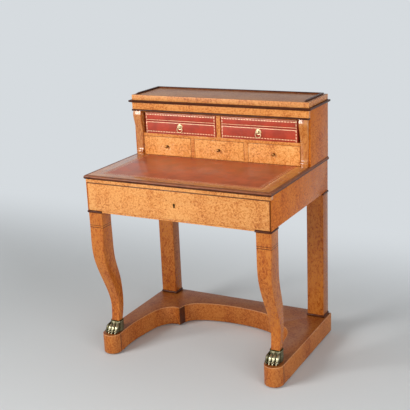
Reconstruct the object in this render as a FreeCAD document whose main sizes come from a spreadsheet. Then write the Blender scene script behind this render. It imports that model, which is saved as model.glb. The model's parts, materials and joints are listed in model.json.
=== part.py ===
import FreeCAD, Part
import os
from types import SimpleNamespace

import Sketcher
from FreeCAD import Rotation, Vector

# A tiered writing desk: a U-shaped plinth carries two scrolled front legs on lion paws and two
# square rear posts, these carry the apron with its wide drawer and the writing board, and on the
# board stands a low case with three small drawers, two leather boxes, a frieze and a gallery.
# X runs along the length, -Y is the front, Z is up and the floor is at zero.
SIZES = {
    # The whole desk
    "apron_length": 760,
    "apron_depth": 560,
    "writing_height": 750,
    "apron_height": 138,
    # Plinth and glides
    "glide_height": 5,
    "glide_radius": 15,
    "glide_inset": 21,
    "plinth_height": 79,
    "plinth_side_margin": 11,
    "plinth_back_margin": 6,
    "plinth_front_setback": 21,
    "plinth_arm_width": 75,
    # Rear posts
    "post_width": 69,
    "post_depth": 54,
    "post_base_height": 10,
    "post_base_margin": 3.5,
    "cap_height": 8,
    "cap_margin": 3,
    # Front legs and paws
    "block_width": 59,
    "block_depth": 61,
    "block_height": 60,
    "block_inset": 1,
    "ankle_width": 35,
    "ankle_depth": 31,
    "ankle_setback": 78,
    "calf_setback": 119,
    "paw_height": 43,
    "paw_width": 58,
    "paw_length": 86,
    "paw_front_setback": 33,
    "collar_margin": 1.5,
    "collar_height": 6,
    # Apron carcass
    "apron_side": 20,
    "apron_side_lip": 5,
    "apron_back": 18,
    "top_rail_height": 12,
    "bottom_rail_height": 18,
    "bottom_rail_width": 60,
    "front_lip_height": 5.5,
    "runner_width": 50,
    "kicker_width": 24,
    # Wide drawer
    "drawer_front": 20,
    "drawer_gap": 1,
    "drawer_running_gap": 1.5,
    "drawer_slide_gap": 0.4,
    "drawer_side": 12,
    "drawer_back": 10,
    "drawer_bottom": 6,
    "drawer_bottom_rise": 5,
    "drawer_rear_gap": 52,
    "drawer_side_drop": 6,
    "drawer_back_drop": 14,
    # Lock and keyhole
    "lock_width": 56,
    "lock_height": 70,
    "lock_depth": 10,
    "lock_gap": 0.2,
    "bolt_width": 24,
    "bolt_thickness": 4,
    "bolt_length": 18,
    "bolt_throw": 7,
    "bolt_gap": 0.5,
    "keyhole_rise": 52,
    "keyhole_radius": 3.2,
    "keyhole_slot": 3.4,
    "keyhole_drop": 10,
    "lining_wall": 1.6,
    # Writing board
    "board_thickness": 15,
    "nosing_width": 12,
    "nosing_front_overhang": 6,
    "nosing_side_overhang": 5.5,
    "nosing_back_flat": 5,
    "leather_side_margin": 58.5,
    "leather_front_margin": 40,
    "leather_thickness": 1.5,
    "inlay_gap": 0.3,
    # Upper case
    "case_side_overhang": 1.5,
    "case_depth": 189,
    "case_side": 20,
    "case_stile": 19.5,
    "case_back": 10,
    "case_shelf": 12,
    "small_drawer_room": 77.5,
    "carton_room": 86.5,
    "case_top": 14,
    "carton_divider": 17,
    "divider_width": 17,
    # Frieze, cornice, block and gallery
    "frieze_overhang": 13,
    "frieze_height": 27,
    "bead_rise": 5,
    "bead_height": 7,
    "bead_overhang": 5,
    "cornice_height": 10,
    "cornice_overhang": 10.5,
    "block_thickness": 21,
    "gallery_inset": 12,
    "gallery_width": 10,
    "gallery_height": 6,
    "gallery_slope": 16,
    "gallery_toe": 2,
    # Consoles
    "console_top_width": 36,
    "console_foot_width": 27,
    "console_outer_inset": 4,
    "console_depth": 18.5,
    # Small drawers and their knobs
    "small_gap": 0.8,
    "small_front": 12,
    "small_side": 8,
    "small_bottom": 4,
    "small_bottom_rise": 3,
    "small_rear_gap": 17,
    "small_side_drop": 6,
    "knob_spigot_radius": 2.4,
    "knob_hole_radius": 2.5,
    "knob_neck_radius": 3,
    "knob_neck_length": 5,
    "knob_rose_radius": 5.2,
    "knob_rose_thickness": 1.5,
    "knob_head_radius": 6,
    "knob_head_half_length": 4.2,
    # Leather boxes
    "carton_inner_gap": 3.5,
    "carton_outer_gap": 11.5,
    "carton_seat_gap": 0.4,
    "carton_head_gap": 1,
    "carton_rear_gap": 14,
    "carton_wall": 5,
    "carton_floor": 3,
    "flap_height": 47.3,
    "flap_gap": 0.3,
    "split_gap": 1,
    # Ring pulls
    "rosette_radius": 12,
    "rosette_thickness": 2,
    "rosette_drop": 17.5,
    "dome_radius": 8,
    "dome_rise": 1,
    "ear_radius": 3.2,
    "ear_length": 4.8,
    "ear_reach": 5,
    "ear_hole_radius": 2.1,
    "ring_radius": 11.5,
    "ring_wire_radius": 1.5,
    # Cuts run past what they cut by this much
    "overrun": 2,
}

# Outline points, each as shares of the sizes that it follows
ARM_INNER_SHARES = [
    (0.818, 0.146), (0.8235, 0.237), (0.813, 0.347), (0.795, 0.443), (0.762, 0.553),
    (0.708, 0.615), (0.639, 0.648), (0.601, 0.6525), (0.568, 0.6425),
]
ARCH_SHARES = [(0.555, 0.661), (0.545, 0.705), (0.5115, 0.745), (0.435, 0.780), (0.256, 0.817)]
ARCH_CROWN_SHARE = 0.8325
LEG_FRONT_SHARES = [
    (0, 1), (0.08, 1.08), (0.175, 1.09), (0.295, 0.92), (0.415, 0.64), (0.535, 0.345),
    (0.655, 0.1), (0.775, -0.02), (0.9, -0.02), (1, 0.01),
]
LEG_BACK_SHARES = [
    (0, 0.79), (0.08, 0.925), (0.175, 1), (0.295, 0.95), (0.415, 0.81), (0.535, 0.53),
    (0.655, 0.245), (0.775, 0.11), (0.9, 0.055), (1, 0),
]
CONSOLE_SHARES = [
    (0, 0.52), (0.035, 0.53), (0.06, 0.58), (0.085, 0.55), (0.115, 0.36), (0.16, 0.25),
    (0.25, 0.23), (0.42, 0.25), (0.56, 0.34), (0.68, 0.52), (0.78, 0.76), (0.86, 0.93),
    (0.92, 0.99), (0.955, 1), (0.985, 0.9), (1, 0.68),
]
CORNICE_SHARES = [(0, 0.25), (0.12, 0.25), (0.3, 0.42), (0.42, 0.78), (0.55, 1), (0.85, 1), (1, 0.8)]
SOFT_EDGE_SHARE = 0.4
PAW_TOE_X_SHARES = [-0.35, -0.117, 0.117, 0.35]
PAW_OUTER_LAG_SHARE = 0.04
PAW_BALL_SHARES = {"toe": (0.15, 0.087, 0.16), "knuckle": (0.165, 0.27, 0.42)}
PAW_INSTEP_SHARES = [(0, 0.56, 0.43, 0.42), (0.5, 0.58, 0.385, 0.39), (0.98, 0.7, 0.24, 0.3)]

doc = FreeCAD.newDocument("TieredWritingDesk")
nodes = []


class Size:
    """A length worked out from the named sizes: how it is worked out, and its value."""

    def __init__(self, text, value):
        self.text = text
        self.value = value

    def _join(self, sign, other, value):
        text = other.text if isinstance(other, Size) else str(other)
        return Size(f"({self.text} {sign} {text})", value)

    def __add__(self, other):
        return self._join("+", other, self.value + other.value)

    def __sub__(self, other):
        return self._join("-", other, self.value - other.value)

    def __mul__(self, share):
        return self._join("*", share, self.value * share)

    def __truediv__(self, share):
        return self._join("/", share, self.value / share)

    def __neg__(self):
        return Size(f"(-{self.text})", -self.value)


def fill_sheet():
    """Write the named sizes into the sheet and give them back by name."""
    sheet = doc.addObject("Spreadsheet::Sheet", "Sizes")
    for row, (name, length) in enumerate(SIZES.items(), start=1):
        sheet.set(f"A{row}", name)
        sheet.set(f"B{row}", str(length))
        sheet.setAlias(f"B{row}", name)
    doc.recompute()
    return SimpleNamespace(**{name: Size(f"Sizes.{name}", float(sheet.get(name))) for name in SIZES})


d = fill_sheet()
ZERO = Size("0", 0.0)

# Planes and levels that several pieces share
half = d.apron_length / 2
front = -(d.apron_depth + d.plinth_back_margin - d.nosing_front_overhang) / 2
back = front + d.apron_depth
plinth_top = d.glide_height + d.plinth_height
apron_low = d.writing_height - d.apron_height
board_low = d.writing_height - d.board_thickness
opening_top = board_low - d.top_rail_height
drawer_room_front = front + d.drawer_front + d.drawer_gap
runner_top = apron_low + d.bottom_rail_height
leg_top = apron_low - d.cap_height
case_front = back - d.case_depth
case_half = half + d.case_side_overhang
case_inner_back = back - d.case_back
room_half = case_half - d.case_side - d.case_stile
middle_half = (room_half - d.divider_width) / 3
side_room_start = middle_half + d.divider_width
drawers_low = d.writing_height
shelf_low = drawers_low + d.small_drawer_room
shelf_top = shelf_low + d.case_shelf
case_top_low = shelf_top + d.carton_room
bead_low = case_top_low + d.bead_rise
frieze_low = bead_low + d.bead_height
frieze_front = case_front - d.frieze_overhang
cornice_low = frieze_low + d.frieze_height
block_low = cornice_low + d.cornice_height
block_top = block_low + d.block_thickness
nosing_half = half + d.nosing_side_overhang
nosing_front = front - d.nosing_front_overhang


def place(item, x, y, z):
    for axis, size in (("x", x), ("y", y), ("z", z)):
        item.setExpression("Placement.Base." + axis, size.text)
    return item


def board(label, x, y, z):
    """A plain board, from its low and high places along X, Y and Z."""
    item = doc.addObject("Part::Box", label)
    for side, span in (("Length", x), ("Width", y), ("Height", z)):
        item.setExpression(side, (span[1] - span[0]).text)
    return place(item, x[0], y[0], z[0])


def mirrored(label, source):
    item = doc.addObject("Part::Mirroring", label)
    item.Source = source
    item.Normal = Vector(1, 0, 0)
    return item


def cut(label, base, tool):
    item = doc.addObject("Part::Cut", label)
    item.Base = base
    item.Tool = tool
    return item


def cut_all(label, base, tools):
    """Take several tools from one blank, one after the other."""
    for count, tool in enumerate(tools, start=1):
        last = count == len(tools)
        base = cut(label if last else f"{label}_cut_{count}", base, tool)
    return base


def gathered(kind, label, items):
    item = doc.addObject(kind, label)
    setattr(item, "Links" if kind == "Part::Compound" else "Shapes", items)
    return item


def group(label, items):
    return gathered("Part::Compound", label, items)


def piece(label, shape):
    item = doc.addObject("Part::Feature", label)
    item.Shape = shape
    return item


def node(item):
    """Count a finished sub-part among the pieces of the desk."""
    nodes.append(item)
    return item


def cylinder(label, radius, length, x, y, z, along):
    """A cylinder from a point, along -Y, +Y or +X."""
    turns = {"-Y": Rotation(Vector(1, 0, 0), 90), "+Y": Rotation(Vector(1, 0, 0), -90),
             "+X": Rotation(Vector(0, 1, 0), 90)}
    item = doc.addObject("Part::Cylinder", label)
    item.setExpression("Radius", radius.text)
    item.setExpression("Height", length.text)
    item.Placement.Rotation = turns[along]
    return place(item, x, y, z)


def ellipsoid(label, radius_x, radius_y, radius_z, x, y, z):
    item = doc.addObject("Part::Ellipsoid", label)
    item.setExpression("Radius1", radius_z.text)
    item.setExpression("Radius2", radius_x.text)
    item.setExpression("Radius3", radius_y.text)
    return place(item, x, y, z)


def new_sketch(body, role, name):
    """A sketch on one of the body's own origin planes."""
    plane = next(f for f in body.Origin.OriginFeatures if f.Role == role)
    sketch = body.newObject("Sketcher::SketchObject", name)
    sketch.AttachmentSupport = (plane, [""])
    sketch.MapMode = "FlatFace"
    return sketch


def hold(sketch, kind, ends, size, name):
    """A dimension between two sketch points, bound to a named size."""
    index = sketch.addConstraint(Sketcher.Constraint(kind, *ends, size.value))
    sketch.renameConstraint(index, name)
    sketch.setExpression("Constraints." + name, size.text)


def rectangle(sketch, across, up):
    """A rectangle from its low and high places across and up the sketch, none below zero."""
    low_x, high_x = across[0].value, across[1].value
    low_y, high_y = up[0].value, up[1].value
    corners = [Vector(low_x, low_y, 0), Vector(high_x, low_y, 0),
               Vector(high_x, high_y, 0), Vector(low_x, high_y, 0)]
    first = len(sketch.Geometry)
    for start, end in zip(corners, corners[1:] + corners[:1]):
        sketch.addGeometry(Part.LineSegment(start, end))
    for line in range(4):
        sketch.addConstraint(Sketcher.Constraint("Coincident", first + line, 2, first + (line + 1) % 4, 1))
    for line in (0, 2):
        sketch.addConstraint(Sketcher.Constraint("Horizontal", first + line))
    for line in (1, 3):
        sketch.addConstraint(Sketcher.Constraint("Vertical", first + line))
    hold(sketch, "DistanceX", (first, 1, first, 2), across[1] - across[0], f"width_{first}")
    hold(sketch, "DistanceY", (first + 1, 1, first + 1, 2), up[1] - up[0], f"height_{first}")
    for kind, low, name in (("DistanceX", across[0], "from_left"), ("DistanceY", up[0], "from_low")):
        if low is ZERO:
            sketch.addConstraint(Sketcher.Constraint(kind, -1, 1, first, 1, 0))
        else:
            hold(sketch, kind, (-1, 1, first, 1), low, f"{name}_{first}")


def circle(sketch, across, up, radius):
    first = len(sketch.Geometry)
    centre = Vector(across.value, up.value, 0)
    sketch.addGeometry(Part.Circle(centre, Vector(0, 0, 1), radius.value))
    hold(sketch, "DistanceX", (-1, 1, first, 3), across, f"across_{first}")
    hold(sketch, "DistanceY", (-1, 1, first, 3), up, f"up_{first}")
    hold(sketch, "Radius", (first,), radius, f"radius_{first}")


def pad(body, sketch, name, length, reversed_pad=False):
    feature = body.newObject("PartDesign::Pad", name)
    feature.Profile = sketch
    feature.Reversed = reversed_pad
    feature.setExpression("Length", length.text)
    doc.recompute()
    return feature


def pocket(body, sketch, name, depth, reversed_pocket=False):
    """Cut a pocket and make sure that it takes material away."""
    before = body.Shape.Volume
    feature = body.newObject("PartDesign::Pocket", name)
    feature.Profile = sketch
    feature.Reversed = reversed_pocket
    feature.setExpression("Length", depth.text)
    doc.recompute()
    if body.Shape.Volume >= before:
        raise RuntimeError(f"{body.Label}: {name} cuts nothing")
    return feature


def front_board(label, x, y, z):
    """An upright board as a body of its own: its face is drawn on XZ and padded backwards."""
    body = doc.addObject("PartDesign::Body", label)
    outline = new_sketch(body, "XZ_Plane", label + "_outline")
    rectangle(outline, (ZERO, x[1] - x[0]), (ZERO, z[1] - z[0]))
    pad(body, outline, label + "_pad", y[1] - y[0], reversed_pad=True)
    place(body, x[0], y[0], z[0])
    return body


def spline(points):
    """A smooth edge through points."""
    curve = Part.BSplineCurve()
    curve.interpolate(points)
    return curve.toShape()


def closed_face(edges):
    return Part.Face(Part.Wire(Part.__sortEdges__(edges)))


def profile_prism(points, length, start):
    """A straight-sided profile in YZ, drawn out along X from a start."""
    wire = Part.makePolygon([Vector(start, y, z) for y, z in points + points[:1]])
    return Part.Face(wire).extrude(Vector(length, 0, 0))


def plan_prism(points, low, high):
    """A straight-sided plan, raised from a low level to a high one."""
    wire = Part.makePolygon([Vector(x, y, low) for x, y in points + points[:1]])
    return Part.Face(wire).extrude(Vector(0, 0, high - low))


def mitred_moulding(label, outline, outer_half, outer_front, rear, width, low, high):
    """Front and side lengths of one moulding, mitred at the corners.

    outline is a closed run of edges in the plane of depth and height: depth is counted
    inwards from the outermost face, height from the moulding's own underside.
    """
    reach = outer_half * 2
    across = closed_face([edge.copy() for edge in outline])
    run = across.copy()
    run.rotate(Vector(0, 0, 0), Vector(0, 0, 1), 90)
    run.translate(Vector(-outer_half, outer_front, low))
    front_run = run.extrude(Vector(reach, 0, 0))
    front_plan = plan_prism([(-outer_half, outer_front), (outer_half, outer_front),
                             (outer_half - width, outer_front + width),
                             (width - outer_half, outer_front + width)], low, high)
    side = across.copy()
    side.translate(Vector(-outer_half, outer_front, low))
    side_run = side.extrude(Vector(0, rear - outer_front, 0))
    side_plan = plan_prism([(-outer_half, outer_front), (width - outer_half, outer_front + width),
                            (width - outer_half, rear), (-outer_half, rear)], low, high)
    left = side_run.common(side_plan).Solids[0]
    right = left.mirror(Vector(0, 0, 0), Vector(1, 0, 0))
    return piece(label, Part.makeCompound([front_run.common(front_plan).Solids[0], left, right]))


def make_plinth():
    """A U-shaped plinth with round noses, hollowed arms, a cusp each side and an arched middle."""
    outer = (half + d.plinth_side_margin).value
    rear = (back + d.plinth_back_margin).value
    nose = d.plinth_arm_width.value / 2
    nose_front = (front + d.plinth_front_setback).value
    nose_back = nose_front + nose
    depth = rear - nose_front
    low = d.glide_height.value

    def spot(share_x, share_y):
        return Vector(outer * share_x, nose_front + depth * share_y, low)

    def flipped(point):
        return Vector(-point.x, point.y, point.z)

    inner = outer - d.plinth_arm_width.value
    corner = Vector(outer, rear, low)
    shoulder = Vector(outer, nose_back, low)
    tip = Vector(outer - nose, nose_front, low)
    inside = Vector(inner, nose_back, low)
    arm = [inside] + [spot(*share) for share in ARM_INNER_SHARES]
    arch = [spot(*share) for share in ARCH_SHARES]
    whole_arch = arch + [spot(0, ARCH_CROWN_SHARE)] + [flipped(p) for p in reversed(arch)]
    edges = [Part.LineSegment(corner, flipped(corner)).toShape(), spline(whole_arch)]
    for turn in (lambda p: p, flipped):
        edges += [
            Part.LineSegment(turn(corner), turn(shoulder)).toShape(),
            Part.Arc(turn(shoulder), turn(tip), turn(inside)).toShape(),
            spline([turn(p) for p in arm]),
            Part.LineSegment(turn(arm[-1]), turn(arch[0])).toShape(),
        ]
    solid = closed_face(edges).extrude(Vector(0, 0, d.plinth_height.value))
    node(piece("plinth", solid))


def make_glides():
    """Four round glides under the noses and the back corners."""
    glides = []
    across = half + d.plinth_side_margin - d.plinth_arm_width / 2
    near = front + d.plinth_front_setback + d.glide_inset
    far = back + d.plinth_back_margin - d.glide_inset
    for row, y in (("front", near), ("back", far)):
        for hand, x in (("left", -across), ("right", across)):
            glide = doc.addObject("Part::Cylinder", f"glide_{row}_{hand}")
            glide.setExpression("Radius", d.glide_radius.text)
            glide.setExpression("Height", d.glide_height.text)
            glides.append(place(glide, x, y, ZERO))
    node(group("plinth_glides", glides))


def soft_block(x, y, z):
    """A low block whose long outer edges are rounded, as a small moulding's are."""
    low = Vector(x[0].value, y[0].value, z[0].value)
    high = Vector(x[1].value, y[1].value, z[1].value)
    size = high - low
    block = Part.makeBox(size.x, size.y, size.z, low)
    level = [edge for edge in block.Edges if abs(edge.Vertexes[0].Z - edge.Vertexes[-1].Z) < size.z / 2]
    return block.makeFillet(size.z * SOFT_EDGE_SHARE, level)


def make_posts():
    """Square rear posts, each between a base moulding and a cap moulding."""
    x = (half - d.post_width, half)
    y = (back - d.post_depth, back)
    z = (plinth_top + d.post_base_height, leg_top)
    post = node(board("rear_post_right", x, y, z))
    node(mirrored("rear_post_left", post))


def make_leg_mouldings():
    """Dark mouldings: a base under each rear post, a cap over each post and front leg."""

    def spread(span, margin):
        return (span[0] - margin, span[1] + margin)

    post_x = (half - d.post_width, half)
    post_y = (back - d.post_depth, back)
    leg_x = (half - d.block_inset - d.block_width, half - d.block_inset)
    leg_y = (front + d.block_inset, front + d.block_inset + d.block_depth)
    cap_z = (leg_top, apron_low)
    base_z = (plinth_top, plinth_top + d.post_base_height)
    right = [
        soft_block(spread(post_x, d.post_base_margin), spread(post_y, d.post_base_margin), base_z),
        soft_block(spread(post_x, d.cap_margin), spread(post_y, d.cap_margin), cap_z),
        soft_block(spread(leg_x, d.cap_margin), spread(leg_y, d.cap_margin), cap_z),
    ]
    left = [solid.mirror(Vector(0, 0, 0), Vector(1, 0, 0)) for solid in right]
    node(piece("leg_mouldings", Part.makeCompound(right + left)))


def make_front_legs():
    """A square block over a shaft that sweeps back in an S and narrows to the ankle."""
    low = (plinth_top + d.paw_height).value
    top = leg_top.value
    knee = top - d.block_height.value
    face = (front + d.block_inset).value
    heel = face + d.block_depth.value
    rise = knee - low
    ankle = d.ankle_setback.value
    calf = front.value + d.calf_setback.value - heel
    x_high = (half - d.block_inset).value
    x_low = x_high - d.block_width.value
    front_points = [Vector(x_low, face + ankle * s, low + rise * h) for h, s in LEG_FRONT_SHARES]
    back_points = [Vector(x_low, heel + calf * s, low + rise * h) for h, s in LEG_BACK_SHARES]
    corners = [front_points[-1], Vector(x_low, face, top), Vector(x_low, heel, top), back_points[-1]]
    edges = [spline(front_points), spline(back_points),
             Part.LineSegment(front_points[0], back_points[0]).toShape()]
    edges += [Part.LineSegment(a, b).toShape() for a, b in zip(corners, corners[1:])]
    side_view = closed_face(edges).extrude(Vector(x_high - x_low, 0, 0))
    taper = (d.block_width.value - d.ankle_width.value) / 2
    depth = heel + calf * 2 - face + ankle
    outline = [(x_low, top), (x_high, top), (x_high, knee), (x_high - taper, low),
               (x_low + taper, low), (x_low, knee)]
    wire = Part.makePolygon([Vector(x, face - ankle, z) for x, z in outline + outline[:1]])
    front_view = Part.Face(wire).extrude(Vector(0, depth + ankle, 0))
    leg = node(piece("front_leg_right", side_view.common(front_view).Solids[0]))
    node(mirrored("front_leg_left", leg))


def make_paws():
    """Bronze lion paws: four toes with knuckles before an instep, and a collar under the ankle."""
    centre = half - d.block_inset - d.block_width / 2
    tip = front + d.paw_front_setback
    parts = []
    for count, share in enumerate(PAW_TOE_X_SHARES):
        x = centre + d.paw_width * share
        lag = d.paw_length * (PAW_OUTER_LAG_SHARE if abs(share) == max(PAW_TOE_X_SHARES) else 0)
        for name, (size, reach, rise) in PAW_BALL_SHARES.items():
            ball = doc.addObject("Part::Sphere", f"{name}_{count}")
            ball.setExpression("Radius", (d.paw_width * size).text)
            parts.append(place(ball, x, tip + lag + d.paw_length * reach, plinth_top + d.paw_height * rise))
    sections = []
    for count, (rise, middle, deep, wide) in enumerate(PAW_INSTEP_SHARES):
        section = doc.addObject("Part::Ellipse", f"instep_section_{count}")
        section.setExpression("MajorRadius", (d.paw_length * deep).text)
        section.setExpression("MinorRadius", (d.paw_width * wide).text)
        section.Placement.Rotation = Rotation(Vector(0, 0, 1), 90)
        sections.append(place(section, centre, tip + d.paw_length * middle,
                              plinth_top + d.paw_height * rise))
    instep = doc.addObject("Part::Loft", "instep")
    instep.Sections = sections
    instep.Solid = True
    parts.append(instep)
    wide = d.ankle_width / 2 + d.collar_margin
    ankle_y = front + d.block_inset + d.ankle_setback
    parts.append(board("paw_collar", (centre - wide, centre + wide),
                       (ankle_y - d.collar_margin, ankle_y + d.ankle_depth + d.collar_margin),
                       (plinth_top + d.paw_height - d.collar_height, plinth_top + d.paw_height)))
    whole = gathered("Part::MultiFuse", "paw_whole", parts)
    room = board("paw_room", (centre - d.paw_width, centre + d.paw_width),
                 (tip - d.overrun, tip + d.paw_length * 2),
                 (plinth_top, plinth_top + d.paw_height))
    paw = node(gathered("Part::MultiCommon", "paw_right", [whole, room]))
    node(mirrored("paw_left", paw))


def make_apron():
    """Side boards, back, a rail over the drawer, a frame under it and kickers above its sides.

    A thin lip under the frame's front rail ends flush with the drawer's face, between the leg caps.
    """
    inner = half - d.apron_side
    rebate_back = drawer_room_front
    side_blank = board("apron_side_blank", (inner, half), (front, back), (apron_low, board_low))
    rebate = board("apron_side_rebate", (inner - d.overrun, half - d.apron_side_lip),
                   (front - d.overrun, rebate_back), (apron_low - d.overrun, opening_top))
    rail_notch = board("apron_side_notch", (inner - d.overrun, half + d.overrun),
                       (front - d.overrun, rebate_back), (opening_top, board_low + d.overrun))
    side = node(cut_all("apron_side_right", side_blank, [rebate, rail_notch]))
    node(mirrored("apron_side_left", side))
    node(board("apron_back_board", (-inner, inner), (back - d.apron_back, back),
               (apron_low, board_low)))
    rail = board("top_rail_blank", (-half, half), (front, rebate_back), (opening_top, board_low))
    bolt_y = front + d.drawer_front - d.lock_depth / 2
    mortise = board("bolt_mortise", (-(d.bolt_width / 2 + d.bolt_gap), d.bolt_width / 2 + d.bolt_gap),
                    (bolt_y - d.bolt_thickness / 2 - d.bolt_gap, bolt_y + d.bolt_thickness / 2 + d.bolt_gap),
                    (opening_top - d.overrun, opening_top + d.bolt_throw + d.bolt_gap))
    node(cut("apron_top_rail", rail, mortise))
    level = (apron_low, runner_top)
    near = (drawer_room_front, drawer_room_front + d.bottom_rail_width)
    far = (back - d.apron_back - d.bottom_rail_width, back - d.apron_back)
    lip_half = half - d.block_inset - d.block_width - d.cap_margin
    frame = [
        board("front_lip", (-lip_half, lip_half), (front, near[1]),
              (apron_low - d.front_lip_height, apron_low)),
        board("bottom_rail_front", (-inner, inner), near, level),
        board("bottom_rail_back", (-inner, inner), far, level),
        board("runner_right", (inner - d.runner_width, inner), (near[1], far[0]), level),
        board("runner_left", (-inner, -(inner - d.runner_width)), (near[1], far[0]), level),
    ]
    node(group("apron_bottom_frame", frame))
    kicker_y = (rebate_back, back - d.apron_back)
    kickers = [
        board("kicker_right", (inner - d.kicker_width, inner), kicker_y, (opening_top, board_low)),
        board("kicker_left", (-inner, -(inner - d.kicker_width)), kicker_y, (opening_top, board_low)),
    ]
    node(group("drawer_kickers", kickers))


def keyhole_solid(name, grow, thickness):
    """A round hole over a slot, as a bar to cut with or to keep, grown by a margin."""
    level = opening_top - d.drawer_gap - d.keyhole_rise
    radius = d.keyhole_radius + grow
    width = d.keyhole_slot / 2 + grow
    start = front - (thickness - d.drawer_front + d.lock_depth)
    barrel = cylinder(name + "_round", radius, thickness, ZERO, start, level, "+Y")
    slot = board(name + "_slot", (-width, width), (start, start + thickness),
                 (level - d.keyhole_drop - grow, level))
    return gathered("Part::MultiFuse", name, [barrel, slot])


def make_main_drawer():
    """The wide drawer: front with lock mortise and keyhole, sides, back and bottom."""
    front_half = half - d.apron_side_lip - d.drawer_gap
    low = apron_low + d.drawer_gap
    high = opening_top - d.drawer_gap
    body = front_board("main_drawer_front_blank", (-front_half, front_half),
                       (front, front + d.drawer_front), (low, high))
    mortise = new_sketch(body, "XZ_Plane", "lock_mortise")
    mortise.AttachmentOffset = FreeCAD.Placement()
    mortise.setExpression("AttachmentOffset.Base.z", (-d.drawer_front).text)
    mortise_half = d.lock_width / 2 + d.lock_gap
    rectangle(mortise, (front_half - mortise_half, front_half + mortise_half),
              (high - low - d.lock_height - d.lock_gap, high - low))
    pocket(body, mortise, "lock_mortise_cut", d.lock_depth, reversed_pocket=True)
    hole = keyhole_solid("keyhole_cut", d.lining_wall, d.drawer_front)
    node(cut("main_drawer_front", body, hole))

    wall = d.drawer_front - d.lock_depth
    ring = keyhole_solid("lining_outer", d.lining_wall, wall)
    bore = keyhole_solid("lining_bore", ZERO, d.drawer_front)
    node(cut("keyhole_lining", ring, bore))

    lock_y = (front + d.drawer_front - d.lock_depth + d.lock_gap, front + d.drawer_front)
    lock_blank = board("lock_blank", (-(d.lock_width / 2), d.lock_width / 2), lock_y,
                       (high - d.lock_height, high))
    bolt_y = front + d.drawer_front - d.lock_depth / 2
    bolt_half = d.bolt_width / 2
    bolt_deep = d.bolt_thickness / 2
    slot = board("lock_slot", (-(bolt_half + d.bolt_gap), bolt_half + d.bolt_gap),
                 (bolt_y - bolt_deep - d.bolt_gap, bolt_y + bolt_deep + d.bolt_gap),
                 (high - d.bolt_length - d.bolt_gap, high + d.overrun))
    node(cut("main_drawer_lock", lock_blank, slot))
    node(board("lock_bolt", (-bolt_half, bolt_half), (bolt_y - bolt_deep, bolt_y + bolt_deep),
               (high - d.bolt_length, high)))

    outer = half - d.apron_side - d.drawer_running_gap
    inner = outer - d.drawer_side
    box_y = (front + d.drawer_front, back - d.apron_back - d.drawer_rear_gap)
    floor = runner_top + d.drawer_slide_gap
    side_z = (floor, high - d.drawer_side_drop)
    sides = [board("main_drawer_side_right", (inner, outer), box_y, side_z),
             board("main_drawer_side_left", (-outer, -inner), box_y, side_z)]
    node(group("main_drawer_sides", sides))
    node(board("main_drawer_back", (-inner, inner), (box_y[1] - d.drawer_back, box_y[1]),
               (floor, high - d.drawer_back_drop)))
    node(board("main_drawer_bottom", (-inner, inner), (box_y[0], box_y[1] - d.drawer_back),
               (floor + d.drawer_bottom_rise, floor + d.drawer_bottom_rise + d.drawer_bottom)))


def make_writing_board():
    """The board with its sunk leather and the dark half-round nosing on three sides."""
    board_half = nosing_half - d.nosing_width
    board_front = nosing_front + d.nosing_width
    body = doc.addObject("PartDesign::Body", "writing_board")
    outline = new_sketch(body, "XY_Plane", "writing_board_outline")
    rectangle(outline, (ZERO, board_half * 2), (ZERO, back - board_front))
    pad(body, outline, "writing_board_pad", d.board_thickness)
    recess = new_sketch(body, "XY_Plane", "leather_recess")
    recess.AttachmentOffset = FreeCAD.Placement()
    recess.setExpression("AttachmentOffset.Base.z", d.board_thickness.text)
    recess_half = nosing_half - d.leather_side_margin
    leather_front = front + d.leather_front_margin
    rectangle(recess, (board_half - recess_half, board_half + recess_half),
              (leather_front - board_front, case_front - board_front))
    pocket(body, recess, "leather_recess_cut", d.leather_thickness)
    place(body, -board_half, board_front, board_low)
    node(body)
    leather_half = recess_half - d.inlay_gap
    node(board("writing_leather", (-leather_half, leather_half),
               (leather_front + d.inlay_gap, case_front - d.inlay_gap),
               (d.writing_height - d.leather_thickness, d.writing_height)))

    height = d.board_thickness.value
    width = d.nosing_width.value
    flat = d.nosing_back_flat.value
    low_edge = Vector(width - flat, 0, 0)
    high_edge = Vector(width - flat, 0, height)
    outline = [
        Part.Arc(low_edge, Vector(0, 0, height / 2), high_edge).toShape(),
        Part.LineSegment(high_edge, Vector(width, 0, height)).toShape(),
        Part.LineSegment(Vector(width, 0, height), Vector(width, 0, 0)).toShape(),
        Part.LineSegment(Vector(width, 0, 0), low_edge).toShape(),
    ]
    node(mitred_moulding("board_nosing", outline, nosing_half.value, nosing_front.value, back.value,
                         width, board_low.value, d.writing_height.value))


def make_case():
    """The upper case: sides, stiles, back, shelf, dividers and top board."""
    inner = case_half - d.case_side
    depth = (case_front, case_inner_back)
    side = node(board("case_side_right", (inner, case_half), (case_front, back),
                      (d.writing_height, cornice_low)))
    node(mirrored("case_side_left", side))
    stile_z = (d.writing_height, case_top_low)
    stiles = [board("case_stile_right", (room_half, inner), depth, stile_z),
              board("case_stile_left", (-inner, -room_half), depth, stile_z)]
    node(group("case_stiles", stiles))
    node(board("case_back_board", (-inner, inner), (case_inner_back, back),
               (d.writing_height, block_low)))
    node(board("case_shelf_board", (-room_half, room_half), depth, (shelf_low, shelf_top)))
    node(board("carton_divider_board", (-(d.carton_divider / 2), d.carton_divider / 2), depth,
               (shelf_top, case_top_low)))
    divider_z = (drawers_low, shelf_low)
    dividers = [board("drawer_divider_right", (middle_half, side_room_start), depth, divider_z),
                board("drawer_divider_left", (-side_room_start, -middle_half), depth, divider_z)]
    node(group("small_drawer_dividers", dividers))
    node(board("case_top_board", (-inner, inner), depth, (case_top_low, case_top_low + d.case_top)))


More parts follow.
